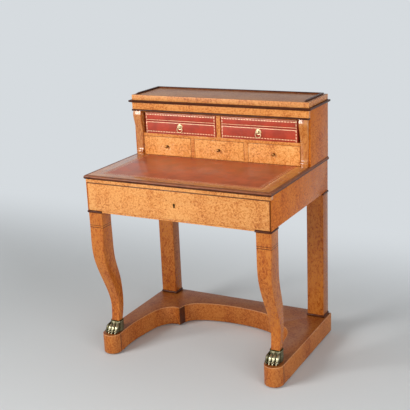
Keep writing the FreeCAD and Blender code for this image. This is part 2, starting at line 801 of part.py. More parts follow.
def make_frieze():
    """The overhanging frieze, its bead, the cornice and the block on top."""
    node(board("frieze_board", (-case_half, case_half), (frieze_front, case_front),
               (frieze_low, cornice_low)))
    bead_front = (frieze_front - d.bead_overhang).value
    deep = case_front.value - bead_front
    high = d.bead_height.value
    nose = high / 2
    low = bead_low.value
    start = -case_half.value
    low_nose = Vector(start, bead_front + nose, low)
    high_nose = low_nose + Vector(0, 0, high)
    low_rear = Vector(start, bead_front + deep, low)
    high_rear = low_rear + Vector(0, 0, high)
    edges = [Part.Arc(low_nose, Vector(start, bead_front, low + nose), high_nose).toShape()]
    for ends in ((high_nose, high_rear), (high_rear, low_rear), (low_rear, low_nose)):
        edges.append(Part.LineSegment(*ends).toShape())
    node(piece("frieze_bead", closed_face(edges).extrude(Vector(case_half.value * 2, 0, 0))))

    overhang = d.cornice_overhang.value
    height = d.cornice_height.value
    width = (d.cornice_overhang + d.case_side).value
    points = [Vector(overhang * (1 - out), 0, height * up) for up, out in CORNICE_SHARES]
    inside = [Vector(width, 0, height), Vector(width, 0, 0)]
    loop = points + inside + points[:1]
    outline = [Part.LineSegment(a, b).toShape() for a, b in zip(loop, loop[1:])]
    node(mitred_moulding("cornice", outline, case_half.value + overhang,
                         frieze_front.value - overhang, back.value, width,
                         cornice_low.value, block_low.value))
    node(board("top_block", (-case_half, case_half), (frieze_front, back), (block_low, block_top)))


def make_gallery():
    """Three low strips round the top; the side ones start in a slope."""
    outer = (case_half - d.gallery_inset).value
    width = d.gallery_width.value
    near = (frieze_front + d.gallery_inset).value
    far = (back - d.gallery_inset).value
    low = block_top.value
    high = low + d.gallery_height.value
    slope = d.gallery_slope.value
    toe = d.gallery_toe.value
    side = profile_prism([(near, low), (near, low + toe), (near + slope, high), (far, high), (far, low)],
                         width, -outer)
    other = side.mirror(Vector(0, 0, 0), Vector(1, 0, 0))
    rear = Part.makeBox((outer - width) * 2, width, high - low, Vector(width - outer, far - width, low))
    node(piece("gallery", Part.makeCompound([side, other, rear])))


def make_consoles():
    """Scrolled brackets in front of the stiles: a volute under the bead, a small one at the foot."""
    outer = (case_half - d.console_outer_inset).value
    top_half = d.console_top_width.value / 2
    foot_half = d.console_foot_width.value / 2
    centre = outer - top_half
    low = d.writing_height.value
    rise = (bead_low - d.writing_height).value
    rear = case_front.value
    depth = d.console_depth.value
    face = [Vector(centre - top_half, rear - depth * out, low + rise * up) for up, out in CONSOLE_SHARES]
    corners = [face[-1], Vector(face[0].x, rear, low + rise), Vector(face[0].x, rear, low), face[0]]
    edges = [spline(face)] + [Part.LineSegment(a, b).toShape() for a, b in zip(corners, corners[1:])]
    side_view = closed_face(edges).extrude(Vector(top_half * 2, 0, 0))
    outline = [(centre - foot_half, low), (centre + foot_half, low),
               (centre + top_half, low + rise), (centre - top_half, low + rise)]
    wire = Part.makePolygon([Vector(x, rear - depth * 2, z) for x, z in outline + outline[:1]])
    front_view = Part.Face(wire).extrude(Vector(0, depth * 2, 0))
    console = node(piece("console_right", side_view.common(front_view).Solids[0]))
    node(mirrored("console_left", console))


def make_knob(label, x, level):
    """A turned knob: spigot, rose, neck and a flattened head."""
    face = case_front
    length = d.small_front / 2
    spigot = cylinder(label + "_spigot", d.knob_spigot_radius, length, x, face, level, "+Y")
    rose = cylinder(label + "_rose", d.knob_rose_radius, d.knob_rose_thickness, x, face, level, "-Y")
    neck = cylinder(label + "_neck", d.knob_neck_radius, d.knob_neck_length + d.knob_head_half_length,
                    x, face, level, "-Y")
    head = ellipsoid(label + "_head", d.knob_head_radius, d.knob_head_half_length, d.knob_head_radius,
                     x, face - d.knob_neck_length - d.knob_head_half_length, level)
    node(gathered("Part::MultiFuse", label, [spigot, rose, neck, head]))


def make_small_drawers():
    """Three small drawers side by side on the writing board, each with one knob."""
    rooms = {"left": (-room_half, -side_room_start), "middle": (-middle_half, middle_half),
             "right": (side_room_start, room_half)}
    level = drawers_low + d.small_drawer_room / 2
    for hand, room in rooms.items():
        x = (room[0] + d.small_gap, room[1] - d.small_gap)
        z = (drawers_low + d.small_gap, shelf_low - d.small_gap)
        y = (case_front, case_front + d.small_front)
        body = front_board(f"{hand}_drawer_front", x, y, z)
        hole = new_sketch(body, "XZ_Plane", f"{hand}_knob_hole")
        circle(hole, (x[1] - x[0]) / 2, (z[1] - z[0]) / 2, d.knob_hole_radius)
        pocket(body, hole, f"{hand}_knob_hole_cut", d.small_front)
        node(body)
        box_y = (y[1], case_inner_back - d.small_rear_gap)
        floor = drawers_low + d.drawer_slide_gap
        side_z = (floor, shelf_low - d.small_side_drop)
        inner = (x[0] + d.small_side, x[1] - d.small_side)
        back_y = (box_y[1] - d.small_side, box_y[1])
        bottom_z = (floor + d.small_bottom_rise, floor + d.small_bottom_rise + d.small_bottom)
        box = [
            board(f"{hand}_drawer_side_a", (x[0], inner[0]), box_y, side_z),
            board(f"{hand}_drawer_side_b", (inner[1], x[1]), box_y, side_z),
            board(f"{hand}_drawer_back", inner, back_y, side_z),
            board(f"{hand}_drawer_bottom", inner, (box_y[0], back_y[0]), bottom_z),
        ]
        node(group(f"{hand}_drawer_box", box))
        make_knob(f"{hand}_drawer_knob", (room[0] + room[1]) / 2, level)


def make_ring_pull(hand, x, pivot_z):
    """A round plate with a domed middle and an ear, and the ring that hangs in the ear."""
    plate = cylinder(f"{hand}_plate", d.rosette_radius, d.rosette_thickness, x, case_front, pivot_z, "-Y")
    dome = ellipsoid(f"{hand}_dome", d.dome_radius, d.rosette_thickness + d.dome_rise, d.dome_radius,
                     x, case_front, pivot_z)
    dome_room = board(f"{hand}_dome_room", (x - d.dome_radius, x + d.dome_radius),
                      (case_front - d.rosette_radius, case_front),
                      (pivot_z - d.dome_radius, pivot_z + d.dome_radius))
    front_dome = gathered("Part::MultiCommon", f"{hand}_front_dome", [dome, dome_room])
    pivot_y = case_front - d.ear_reach
    ear = cylinder(f"{hand}_ear", d.ear_radius, d.ear_length, x - d.ear_length / 2,
                   pivot_y, pivot_z, "+X")
    bore = cylinder(f"{hand}_ear_bore", d.ear_hole_radius, d.rosette_radius * 2, x - d.rosette_radius,
                    pivot_y, pivot_z, "+X")
    whole = gathered("Part::MultiFuse", f"{hand}_plate_whole", [plate, front_dome, ear])
    node(cut(f"{hand}_carton_rosette", whole, bore))
    ring = doc.addObject("Part::Torus", f"{hand}_carton_ring")
    ring.setExpression("Radius1", d.ring_radius.text)
    ring.setExpression("Radius2", d.ring_wire_radius.text)
    ring.Placement.Rotation = Rotation(Vector(1, 0, 0), 90)
    node(place(ring, x, pivot_y, pivot_z - d.ring_radius))


def make_cartons():
    """Two leather boxes: tray, deep lid, a front flap that turns on its rolled foot, ring pull."""
    low = shelf_top + d.carton_seat_gap
    flap_low = low + d.carton_floor + d.flap_gap
    flap_high = flap_low + d.flap_height
    split = flap_high + d.split_gap
    top = case_top_low - d.carton_head_gap
    rear = case_inner_back - d.carton_rear_gap
    inner_x = d.carton_divider / 2 + d.carton_inner_gap
    outer_x = room_half - d.carton_outer_gap
    wall = d.carton_wall
    for hand, x in (("left", (-outer_x, -inner_x)), ("right", (inner_x, outer_x))):
        room_x = (x[0] + wall, x[1] - wall)
        tray_blank = board(f"{hand}_tray_blank", x, (case_front, rear), (low, split))
        tray_room = board(f"{hand}_tray_room", room_x, (case_front - d.overrun, rear - wall),
                          (low + d.carton_floor, split + d.overrun))
        flap_room = board(f"{hand}_flap_room", (x[0] - d.overrun, x[1] + d.overrun),
                          (case_front - d.overrun, case_front + wall + d.flap_gap),
                          (low + d.carton_floor, split + d.overrun))
        node(cut_all(f"{hand}_carton_tray", tray_blank, [tray_room, flap_room]))
        lid_blank = board(f"{hand}_lid_blank", x, (case_front, rear), (split, top))
        lid_room = board(f"{hand}_lid_room", room_x, (case_front + wall, rear - wall),
                         (split - d.overrun, top - wall))
        node(cut(f"{hand}_carton_lid", lid_blank, lid_room))
        hinge_y = case_front + wall / 2
        hinge_z = flap_low + wall / 2
        panel = board(f"{hand}_flap_panel", x, (case_front, case_front + wall), (hinge_z, flap_high))
        roll = cylinder(f"{hand}_flap_roll", wall / 2, x[1] - x[0], x[0], hinge_y, hinge_z, "+X")
        node(gathered("Part::MultiFuse", f"{hand}_carton_flap", [panel, roll]))
        make_ring_pull(hand, (x[0] + x[1]) / 2, flap_high - d.rosette_drop)


def check_and_export():
    """Stop on any piece that is broken, then write each piece to a file of its own."""
    for item in doc.Objects:
        if "Invalid" in item.State or "Error" in item.State:
            raise RuntimeError(f"{item.Label} is {item.State}")
    labels = [item.Label for item in nodes]
    if len(set(labels)) != len(labels):
        raise RuntimeError("two pieces share a name")
    for item in nodes:
        if item.Shape.isNull() or not item.Shape.isValid() or not item.Shape.Solids:
            raise RuntimeError(f"{item.Label} has no sound solid")
    os.makedirs("parts", exist_ok=True)
    for item in nodes:
        item.Shape.exportStep(f"parts/{item.Label}.step")
    print(f"{len(nodes)} pieces written")


make_plinth()
make_glides()
make_posts()
make_leg_mouldings()
make_front_legs()
make_paws()
make_apron()
make_main_drawer()
make_writing_board()
make_case()
make_frieze()
make_gallery()
make_consoles()
make_small_drawers()
make_cartons()
doc.recompute()
check_and_export()
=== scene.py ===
import json
import math

import bmesh
import bpy
import numpy as np
from bpy.props import FloatProperty, FloatVectorProperty, IntProperty, PointerProperty
from mathutils import Matrix, Vector


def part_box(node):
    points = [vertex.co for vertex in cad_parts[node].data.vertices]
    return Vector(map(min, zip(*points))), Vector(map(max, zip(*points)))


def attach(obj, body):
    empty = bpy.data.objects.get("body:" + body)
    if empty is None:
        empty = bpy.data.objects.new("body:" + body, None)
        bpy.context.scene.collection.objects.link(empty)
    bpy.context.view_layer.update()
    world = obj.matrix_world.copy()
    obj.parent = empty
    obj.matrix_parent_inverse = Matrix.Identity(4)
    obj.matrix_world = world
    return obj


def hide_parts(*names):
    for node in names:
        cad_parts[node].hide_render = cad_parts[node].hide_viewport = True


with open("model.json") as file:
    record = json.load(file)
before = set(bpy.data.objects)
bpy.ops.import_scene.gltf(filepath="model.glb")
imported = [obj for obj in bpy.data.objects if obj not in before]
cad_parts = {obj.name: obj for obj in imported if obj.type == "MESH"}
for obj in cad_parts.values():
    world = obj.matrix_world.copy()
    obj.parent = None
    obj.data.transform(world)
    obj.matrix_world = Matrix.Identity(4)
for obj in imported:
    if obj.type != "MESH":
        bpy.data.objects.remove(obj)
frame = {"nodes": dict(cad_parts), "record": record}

bl_info = {
    "name": "Tiered Writing Desk",
    "version": (1, 0, 0),
    "blender": (4, 5, 0),
    "location": "View3D > Sidebar > Desk",
    "description": "Dresses the desk in burr veneer, dark mouldings, bronze and tooled leather",
    "category": "Object",
}

BODY_OF = {node: body for body, nodes in frame["record"]["behaviour"]["bodies"].items() for node in nodes}
HANDS = {"right": 1, "left": -1}
FORWARD, UPWARD = (0, -1, 0), (0, 0, 1)
QUARTER_TURN, FULL_TURN = math.pi / 2, math.pi * 2

# Reach in metres within which points are one, degrees past which an edge is drawn sharp, and
# metres that a sheet of veneer or leather may be shifted
MERGE_REACH, SHARP_ANGLE, SHEET_REACH = 1e-6, 34, 3

# Sizes in metres that the boxes of the frame don't tell
NOSE_RADIUS, GLIDE_RADIUS, FLANK_TOP = 0.0375, 0.015, 0.0015
LEG_BLOCK_HEIGHT, LEG_BLOCK_DEPTH, KNEE_DEPTH = 0.06, 0.061, 0.078
LEG_HALF_FOOT, LEG_HALF_KNEE = 0.0175, 0.0295
CAP_MARGIN, BASE_MARGIN = 0.003, 0.0035
FRONT_GAP, FRAME_RAIL, FRAME_RUNNER = 0.001, 0.060, 0.050
LEATHER_SHEET_EASE, NOSING_WIDTH, NOSING_FLAT = 0.0005, 0.012, 0.005
STILE_INNER, SMALL_DIVIDER = 0.342, 0.017
CORNICE_REST, CORNICE_CHAMFER = 0.02, 0.0012
GALLERY_WIDTH, GALLERY_SLOPE, GALLERY_TOE, GALLERY_EASE = 0.010, 0.016, 0.002, 0.0012
CONSOLE_HALF_FOOT, CONSOLE_HALF_HEAD, CONSOLE_EASE = 0.0135, 0.018, 0.0012

# The plinth's plan, as shares of its half width and of its depth
ARM_INNER = [
    (0.818, 0.146), (0.8235, 0.237), (0.813, 0.347), (0.795, 0.443), (0.762, 0.553),
    (0.708, 0.615), (0.639, 0.648), (0.601, 0.6525), (0.568, 0.6425),
]
ARCH = [(0.555, 0.661), (0.545, 0.705), (0.5115, 0.745), (0.435, 0.780), (0.256, 0.817)]
ARCH_CROWN = 0.8325
ARCH_FOOT, ARCH_FOOT_HALF = (0.5555, 0.674), (0.0105, 0.036)

# The four toes of a paw: place across, lag behind the front, and how rubbed each one is; the leftmost toe's
# low value is painted shade, as it turns away from the lamps
TOES = [(-0.35, 0.06, 0.35), (-0.117, 0.015, 1), (0.117, 0.015, 1), (0.35, 0.06, 1)]

# Curves: stations from 0 to 1, then a share of the piece's size at each
LEG_STATIONS = (0, 0.08, 0.175, 0.295, 0.415, 0.535, 0.655, 0.775, 0.9, 1)
LEG_FRONT = LEG_STATIONS, (1, 1.08, 1.09, 0.92, 0.64, 0.345, 0.1, -0.02, -0.02, 0.01)
LEG_BACK = LEG_STATIONS, (0.79, 0.925, 1, 0.95, 0.81, 0.53, 0.245, 0.11, 0.055, 0)
CONSOLE_DEPTH = (
    (0, 0.035, 0.06, 0.085, 0.115, 0.16, 0.25, 0.42, 0.56, 0.68, 0.78, 0.86, 0.905, 0.925, 0.95, 0.975, 1),
    (0.52, 0.53, 0.58, 0.55, 0.36, 0.25, 0.23, 0.25, 0.34, 0.52, 0.76, 0.93, 1, 0.985, 0.906, 0.827, 0.748),
)
TOE_REACH = (0, 0.2, 0.45, 0.7, 1), (0.045, 0.10, 0.18, 0.31, 0.5)
TOE_RISE = (0, 0.2, 0.45, 0.7, 1), (0.13, 0.22, 0.43, 0.64, 0.76)
TOE_GIRTH = (0, 0.14, 0.32, 0.52, 0.75, 1), (0.09, 0.168, 0.125, 0.165, 0.115, 0.08)
INSTEP_WIDTH = (0, 0.35, 0.75, 0.93, 1), (0.455, 0.46, 0.405, 0.39, 0.385)
INSTEP_DEPTH = (0, 0.35, 0.75, 0.93, 1), (0.40, 0.39, 0.29, 0.235, 0.232)
INSTEP_CENTRE = (0, 0.35, 0.75, 1), (0.585, 0.595, 0.66, 0.715)

# Turned profiles: radius and reach, as shares for the glide and in metres for the rest
GLIDE = [(0.8, 0), (1, 0.35), (1, 1)]
KNOB = [
    (0, -0.004), (0.0024, -0.004), (0.0024, 0), (0.0052, 0), (0.0052, 0.0009), (0.0044, 0.0016),
    (0.0026, 0.0026), (0.0023, 0.0042), (0.0028, 0.0052), (0.0042, 0.0058), (0.0054, 0.007),
    (0.0059, 0.0088), (0.0056, 0.0104), (0.0044, 0.0120), (0.0026, 0.0131),
]
PLATE = [
    (0, 0), (0.0118, 0), (0.012, 0.0005), (0.0118, 0.0014), (0.0112, 0.002), (0.0104, 0.0015),
    (0.0096, 0.0014), (0.0088, 0.0019), (0, 0.0018),
]
PLATE_WEAR = (0.3, 0.5, 0.9, 1, 1, 0.8, 0.5, 0.8, 0.3)
DOME = [(0, 0.001), (0.0082, 0.0016), (0.0076, 0.0022), (0.0062, 0.0026), (0.0044, 0.0029), (0, 0.003)]
DOME_WEAR = (0.1, 0.3, 0.6, 0.5, 0.35, 0.3)
EAR = np.array([
    (0.0022, -0.0024), (0.0032, -0.0024), (0.0034, 0), (0.0032, 0.0024), (0.0022, 0.0024), (0.0022, -0.0024),
])

# Lamps: place and aim in metres, and the side of each square
LAMPS = {
    "key": dict(place=(-2.0, -2.9, 2.2), aim=(-0.1, 0, 0.7), size=1.6),
    "fill": dict(place=(3.0, -2.2, 1.3), aim=(0, 0, 0.5), size=2.4),
    "top": dict(place=(-0.3, 0.6, 3.4), aim=(0, 0, 0.4), size=2.2),
}
AIR_TINT = (1.0, 0.99, 0.97, 1)
FLOOR_REACH, FLOOR_BEND, WALL_HEIGHT = 5.2, 2.2, 6.0
SENSOR_WIDTH, SIGHT_LIMIT = 36, 60

# Sockets of the colour mix node, which has several of each name
MIX_SHARE, MIX_FIRST, MIX_SECOND, MIX_COLOUR = 0, 6, 7, 2


def tint(red, green, blue):
    """A colour as it shows on a screen, 0 to 255 a channel, made linear."""
    parts = np.array([red, green, blue]) / 255
    return tuple(np.where(parts > 0.04045, ((parts + 0.055) / 1.055) ** 2.4, parts / 12.92))


def shaded(colour, factor):
    """A colour times a factor, kept within range."""
    return tuple((np.array(colour) * factor).clip(0, 1))


def colour_setting(name, description, *channels):
    return FloatVectorProperty(name=name, description=description, subtype="COLOR", default=tint(*channels),
                               min=0, max=1)


def length_setting(name, description, metres):
    return FloatProperty(name=name, description=description, unit="LENGTH", subtype="DISTANCE",
                         default=metres, min=0, precision=5)


def angle_setting(name, description, degrees):
    return FloatProperty(name=name, description=description, subtype="ANGLE", default=math.radians(degrees))


def number_setting(name, description, number):
    return FloatProperty(name=name, description=description, default=number, min=0)


class DeskFinishSettings(bpy.types.PropertyGroup):
    """Colours and gloss of the desk's finishes."""

    veneer_light: colour_setting("Veneer light", "Palest figure of the burr veneer", 247, 181, 108)
    veneer_mid: colour_setting("Veneer middle", "Body colour of the burr veneer", 222, 142, 68)
    veneer_dark: colour_setting("Veneer dark", "Eyes and flecks of the burr veneer", 178, 98, 42)
    moulding: colour_setting("Mouldings", "Dark stained mouldings", 58, 24, 9)
    moulding_streak: colour_setting("Moulding streaks", "Redder grain in the mouldings", 104, 50, 22)
    # paler colour of the painted highlight on the mouldings
    moulding_sheen: colour_setting("Moulding crests", "Rubbed crests of the mouldings", 168, 98, 58)
    lining: colour_setting("Drawer lining", "Plain wood of drawer sides and bottoms", 206, 150, 96)
    carcass: colour_setting("Carcass", "Plain wood of the back and the frame", 212, 142, 86)
    box_leather: colour_setting("Box leather", "Red leather of the two boxes", 178, 62, 38)
    top_leather: colour_setting("Top leather", "Brown-red leather of the writing surface", 184, 90, 52)
    gilt: colour_setting("Gilt", "Gold of the tooled lines", 255, 214, 170)
    bronze_dark: colour_setting("Bronze hollows", "Green-brown patina in the hollows", 66, 60, 34)
    bronze_bright: colour_setting("Bronze crests", "Rubbed bronze on the crests", 222, 214, 176)
    brass: colour_setting("Brass", "Lacquered brass of the ring pulls", 246, 226, 178)
    steel: colour_setting("Steel", "Steel of the lock", 140, 140, 144)
    gloss: FloatProperty(name="Polish roughness", description="Roughness of the clear polish",
                         subtype="FACTOR", default=0.06, min=0, max=1)


class DeskShapeSettings(bpy.types.PropertyGroup):
    """Small sizes that the frame doesn't give."""

    ease: length_setting("Eased edge", "Rounding of the boards' edges", 0.0008)
    leather_ease: length_setting("Leather edge", "Rounding of the leather edges", 0.0014)
    plinth_ease: length_setting("Plinth edge", "Rounding of the plinth's edges", 0.0016)
    leg_ease: length_setting("Leg edge", "Rounding of the front legs' edges", 0.0022)
    arc_steps: IntProperty(name="Arc steps", description="Flat steps in each eased edge", default=3,
                           min=1, max=8)
    around: IntProperty(name="Turning steps", description="Steps round each turned piece", default=40,
                        min=12, max=96)


class DeskStageSettings(bpy.types.PropertyGroup):
    """Camera, lamps and backdrop."""

    camera_place: FloatVectorProperty(name="Camera place", description="Where the camera stands",
                                      subtype="XYZ", unit="LENGTH", default=(1.5131, -2.8423, 1.5476))
    camera_yaw: angle_setting("Camera yaw", "Turn to the left from straight ahead", 28.34)
    camera_pitch: angle_setting("Camera pitch", "Tilt above the horizon", -16.32)
    camera_roll: angle_setting("Camera roll", "Turn about the line of sight", -2.52)
    lens: number_setting("Lens", "Focal length on a 36 mm sensor, in millimetres", 75.69)
    shift: FloatVectorProperty(name="Shift", description="Camera shift across and up", size=2,
                               default=(-0.0020, -0.0079))
    floor: colour_setting("Floor", "Pale floor", 220, 223, 224)
    backdrop: colour_setting("Backdrop", "Pale grey backdrop", 214, 219, 223)
    key_watts: number_setting("Key lamp", "Watts of the large soft lamp at the front left", 112)
    fill_watts: number_setting("Fill lamp", "Watts of the soft lamp at the right", 70)
    top_watts: number_setting("Top lamp", "Watts of the soft lamp above", 8)
    ambient: number_setting("Ambient", "Strength of the even light from all round", 0.24)


def settings_of(group):
    """One of the desk's groups of settings: finish, shape or stage."""
    return getattr(bpy.context.scene, "desk_" + group)


def sum_as(operation, turned_round=False):
    """A method that joins a value and another in one maths node."""
    def join(self, other):
        terms = (other, self) if turned_round else (self, other)
        return self.finish.node("Math", dict(enumerate(terms)), operation=operation)

    return join


class Value:
    """One output of a material's nodes, so that sums on it read as sums."""

    __add__ = sum_as("ADD")
    __radd__ = sum_as("ADD", turned_round=True)
    __sub__ = sum_as("SUBTRACT")
    __rsub__ = sum_as("SUBTRACT", turned_round=True)
    __mul__ = sum_as("MULTIPLY")
    __rmul__ = sum_as("MULTIPLY", turned_round=True)
    __pow__ = sum_as("POWER")
    __rpow__ = sum_as("POWER", turned_round=True)
    at_most = sum_as("MINIMUM")
    at_least = sum_as("MAXIMUM")
    remainder = sum_as("FLOORED_MODULO")

    def __init__(self, finish, socket):
        self.finish = finish
        self.socket = socket

    def __abs__(self):
        return self.finish.node("Math", {0: self}, operation="ABSOLUTE")

    def as_share(self):
        """The value, kept between 0 and 1."""
        return self.at_least(0).at_most(1)

    def swing(self, strength):
        """How far a noise is from its middle value, times strength."""
        return strength * (self - 0.5)

    def fade(self, start, end):
        """0 before start, 1 past end, and a smooth step between them."""
        low, high, first, last = (start, end, 0, 1) if start < end else (end, start, 1, 0)
        sockets = {"Value": self, "From Min": low, "From Max": high, "To Min": first, "To Max": last}
        return self.finish.node("MapRange", sockets, interpolation_type="SMOOTHSTEP")

    def line(self, centre, half_width, soft=0.0003):
        """1 on a line about centre, 0 off it, with soft edges."""
        return abs(self - centre).fade(half_width + soft, half_width - soft)

    def within(self, low, high):
        """How far inside both ends a place is."""
        return (high - low) / 2 - abs(self - (low + high) / 2)


class Finish:
    """A material under construction: its nodes and its main shader."""

    def __init__(self, name, **constants):
        self.material = bpy.data.materials.new(name)
        self.material.use_nodes = True
        self.tree = self.material.node_tree
        self.shader = self.tree.nodes["Principled BSDF"]
        self.shine(**constants)

    def shine(self, **given):
        """Give the main shader's sockets their numbers or values."""
        for words, value in given.items():
            self.feed(self.shader.inputs[words.replace("_", " ").title().replace("Ior", "IOR")], value)

    def feed(self, socket, given):
        """Link a value to a socket, or set a number, a colour or a vector."""
        if isinstance(given, Value):
            self.tree.links.new(given.socket, socket)
        elif socket.type == "RGBA" and len(given) == 3:
            socket.default_value = (*given, 1)
        else:
            socket.default_value = given

    def node(self, kind, sockets=None, output=0, **settings):
        """Add a node: its settings first, then the values or links of its sockets."""
        made = self.tree.nodes.new("ShaderNode" + kind)
        for name, setting in settings.items():
            setattr(made, name, setting)
        for name, given in (sockets or {}).items():
            self.feed(made.inputs[name], given)
        return Value(self, made.outputs[output])

    def outputs(self, kind, names, sockets=None):
        """Several outputs of one new node."""
        made = self.node(kind, sockets).socket.node
        return [Value(self, made.outputs[name]) for name in names]

    def mix(self, share, first, second):
        """A colour between two colours."""
        return self.node("Mix", {MIX_SHARE: share, MIX_FIRST: first, MIX_SECOND: second}, MIX_COLOUR,
                         data_type="RGBA")

    def ramp(self, share, stops):
        """A colour from (share, colour) stops."""
        made = self.node("ValToRGB", {"Fac": share})
        elements = made.socket.node.color_ramp.elements
        while len(elements) < len(stops):
            elements.new(1)
        for element, (place, colour) in zip(elements, stops):
            element.position = place
            element.color = (*colour, 1)
        return made

    def vector(self, operation, first, second):
        return self.node("VectorMath", {0: first, 1: second}, operation=operation)

    def wear(self):
        """The piece's own wear and sheen value, 0 in hollows and 1 on crests: wear on the bronze and brass,
        a painted highlight on the mouldings.
        """
        return self.node("Attribute", output="Fac", attribute_name="wear")

    def here(self):
        """Object coordinates."""
        return self.node("TexCoord", output="Object")

    def place(self):
        """Object coordinates, moved by the piece's own shift so that no two sheets match."""
        here = self.here()
        shift = self.node("Attribute", output="Vector", attribute_name="sheet_shift")
        return self.vector("ADD", here, shift)

    def spot(self):
        """Object coordinates as three numbers: across, deep and up."""
        return self.outputs("SeparateXYZ", "XYZ", {0: self.here()})

    def stretched(self, place, across, deep, up):
        """Coordinates scaled along each axis, for figure that runs one way."""
        return self.node("Mapping", {"Vector": place, "Scale": (across, deep, up)})

    def noise(self, place, scale, detail=2, rough=0.5, output="Fac"):
        sockets = {"Vector": place, "Scale": scale, "Detail": detail, "Roughness": rough}
        return self.node("TexNoise", sockets, output)

    def cells(self, place, scale):
        """How far each point is from the nearest of many scattered centres."""
        return self.node("TexVoronoi", {"Vector": place, "Scale": scale}, "Distance")

    def warped(self, place, scale, reach):
        """Coordinates pushed about by a soft noise, so that the figure swirls."""
        push = self.vector("SUBTRACT", self.noise(place, scale, output="Color"), (0.5, 0.5, 0.5))
        return self.vector("ADD", place, self.vector("MULTIPLY", push, (reach, reach, reach)))

    def done(self, colour, roughness, relief, reach, **more):
        """The material, with its colour, roughness and a relief from 0 to 1 over reach metres."""
        normal = self.node("Bump", {"Height": relief, "Distance": reach, "Strength": 1}, "Normal")
        self.shine(base_color=colour, roughness=roughness, normal=normal, **more)
        return self.material


def burr_figure(finish, grain, contrast):
    """Burr veneer: clouds, swirling mottle, curly ripple and small dark eyes, mixed to one tone.

    grain is the stretch of the figure along each axis.
    """
    place = finish.stretched(finish.place(), *grain)
    swirl = finish.warped(place, scale=30, reach=0.02)
    clouds = finish.noise(finish.stretched(swirl, across=1, deep=1, up=0.3), scale=15)
    mottle = finish.noise(swirl, scale=128, detail=3, rough=0.6)
    curl = finish.noise(finish.warped(place, scale=75, reach=0.02), scale=230, rough=0.55)
    eye = finish.cells(finish.warped(place, scale=90, reach=0.006), scale=120)
    eyes = eye.fade(0.32, 0.12) * finish.noise(place, scale=30, detail=1).fade(0.48, 0.6)
    figure = mottle.swing(1.5) + curl.swing(1.3) + clouds.swing(0.7)
    return 0.5 + contrast * figure - 0.1 * eyes


def make_veneer(name, brightness, redness, coat, grain=(1, 1, 1), contrast=1.3, satin=0, lines=(), pale=()):
    """French-polished burr veneer; each of lines and pale is a function of across, deep and up
    that gives the share of a dark or a pale mark there: lines are dark joints, inlay and painted shade,
    pale is a worn edge with a painted highlight."""
    colours = settings_of("finish")
    finish = Finish(name, coat_weight=coat, coat_roughness=colours.gloss + satin, coat_ior=1.5,
                    specular_ior_level=(0.1 + 0.3 * coat) * (1 - satin))
    tone = burr_figure(finish, grain, contrast)
    warm = np.array([1.0, 1.0 - redness, 1.0 - 2.0 * redness]) * brightness
    dark, middle, light = (np.array(some) * warm for some in
                           (colours.veneer_dark, colours.veneer_mid, colours.veneer_light))
    stops = [(0.0, dark), (0.36, middle), (0.64, (middle + 2 * light) / 3), (0.92, light)]
    colour = finish.ramp(tone, [(share, shaded(some, 1)) for share, some in stops])
    spot = finish.spot()
    # Dark joints and inlay share their colour with painted shade; the pale colour is a worn edge and a
    # painted highlight.
    joint_and_shade, worn_and_lit_edge = tint(62, 24, 6), tint(232, 190, 146)
    for shares, shade in ((lines, joint_and_shade), (pale, worn_and_lit_edge)):
        for share in shares:
            colour = finish.mix(share(*spot), colour, shade)
    handling = finish.noise(finish.place(), scale=9, detail=3)
    return finish.done(colour, roughness=0.3 + satin + handling.swing(0.2) - tone.swing(0.08),
                       relief=finish.noise(finish.place(), scale=46, detail=1), reach=0.00015)


def level_line(height, half_width, soft=0.0003, strength=1):
    """A line at one height: dark inlay, a dark joint, or a worn edge that also holds a painted highlight."""
    return lambda across, deep, up: up.line(height, half_width, soft) * strength


def painted_shade_above(height, strength):
    """Painted shade: darker from one height upwards, for tops that get less light than the fronts."""
    return lambda across, deep, up: up.fade(height - 0.0002, height) * strength


def painted_shade_right(strength):
    """Painted shade: darker and redder towards the right end, away from the key lamp."""
    return lambda across, deep, up: across.fade(-0.05, 0.36) * strength


def dark_edge_and_shade(front):
    """The dark front edge of an apron side, beside the wide drawer: a dark edge, with painted shade that
    makes it stronger on the right side than on the left.
    """
    return lambda across, deep, up: (deep.fade(front + 0.0012, front + 0.0005)
                                     * (0.25 + 0.55 * across.fade(-0.1, 0.1)))


def nose_joint(low, high):
    """The plinth's dark joint where each round nose meets its arm, on the flanks only."""
    nose_end = low.y + (high.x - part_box("front_leg_right")[0].x + 0.008) / 2
    top = high.z - FLANK_TOP
    return lambda across, deep, up: (deep.line(nose_end, half_width=0.0030, soft=0.0008)
                                     * up.fade(top, top - 0.0005) * 0.8)


def arch_painted_shade(low, high):
    """Painted shade where each arm meets the arch, on the flanks only: the narrow step there is drawn dark
    as in shadow.
    """
    (x, y), (half_x, half_y) = ARCH_FOOT, ARCH_FOOT_HALF
    half, depth, top = high.x, high.y - low.y, high.z - FLANK_TOP
    return lambda across, deep, up: (abs(across).line(half * x, half * half_x, soft=0.0006)
                                     * deep.line(low.y + depth * y, depth * half_y, soft=0.001)
                                     * up.fade(top, top - 0.001) * 0.92)


def front_joint(node, width, strength):
    """The dark joint round a drawer front, drawn just inside its edges."""
    low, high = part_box(node)

    def share(across, deep, up):
        from_edge = across.within(low.x, high.x).at_most(up.within(low.z, high.z))
        return from_edge.fade(width, width * 0.5) * from_edge.fade(-0.0008, -0.0002) * strength

    return share


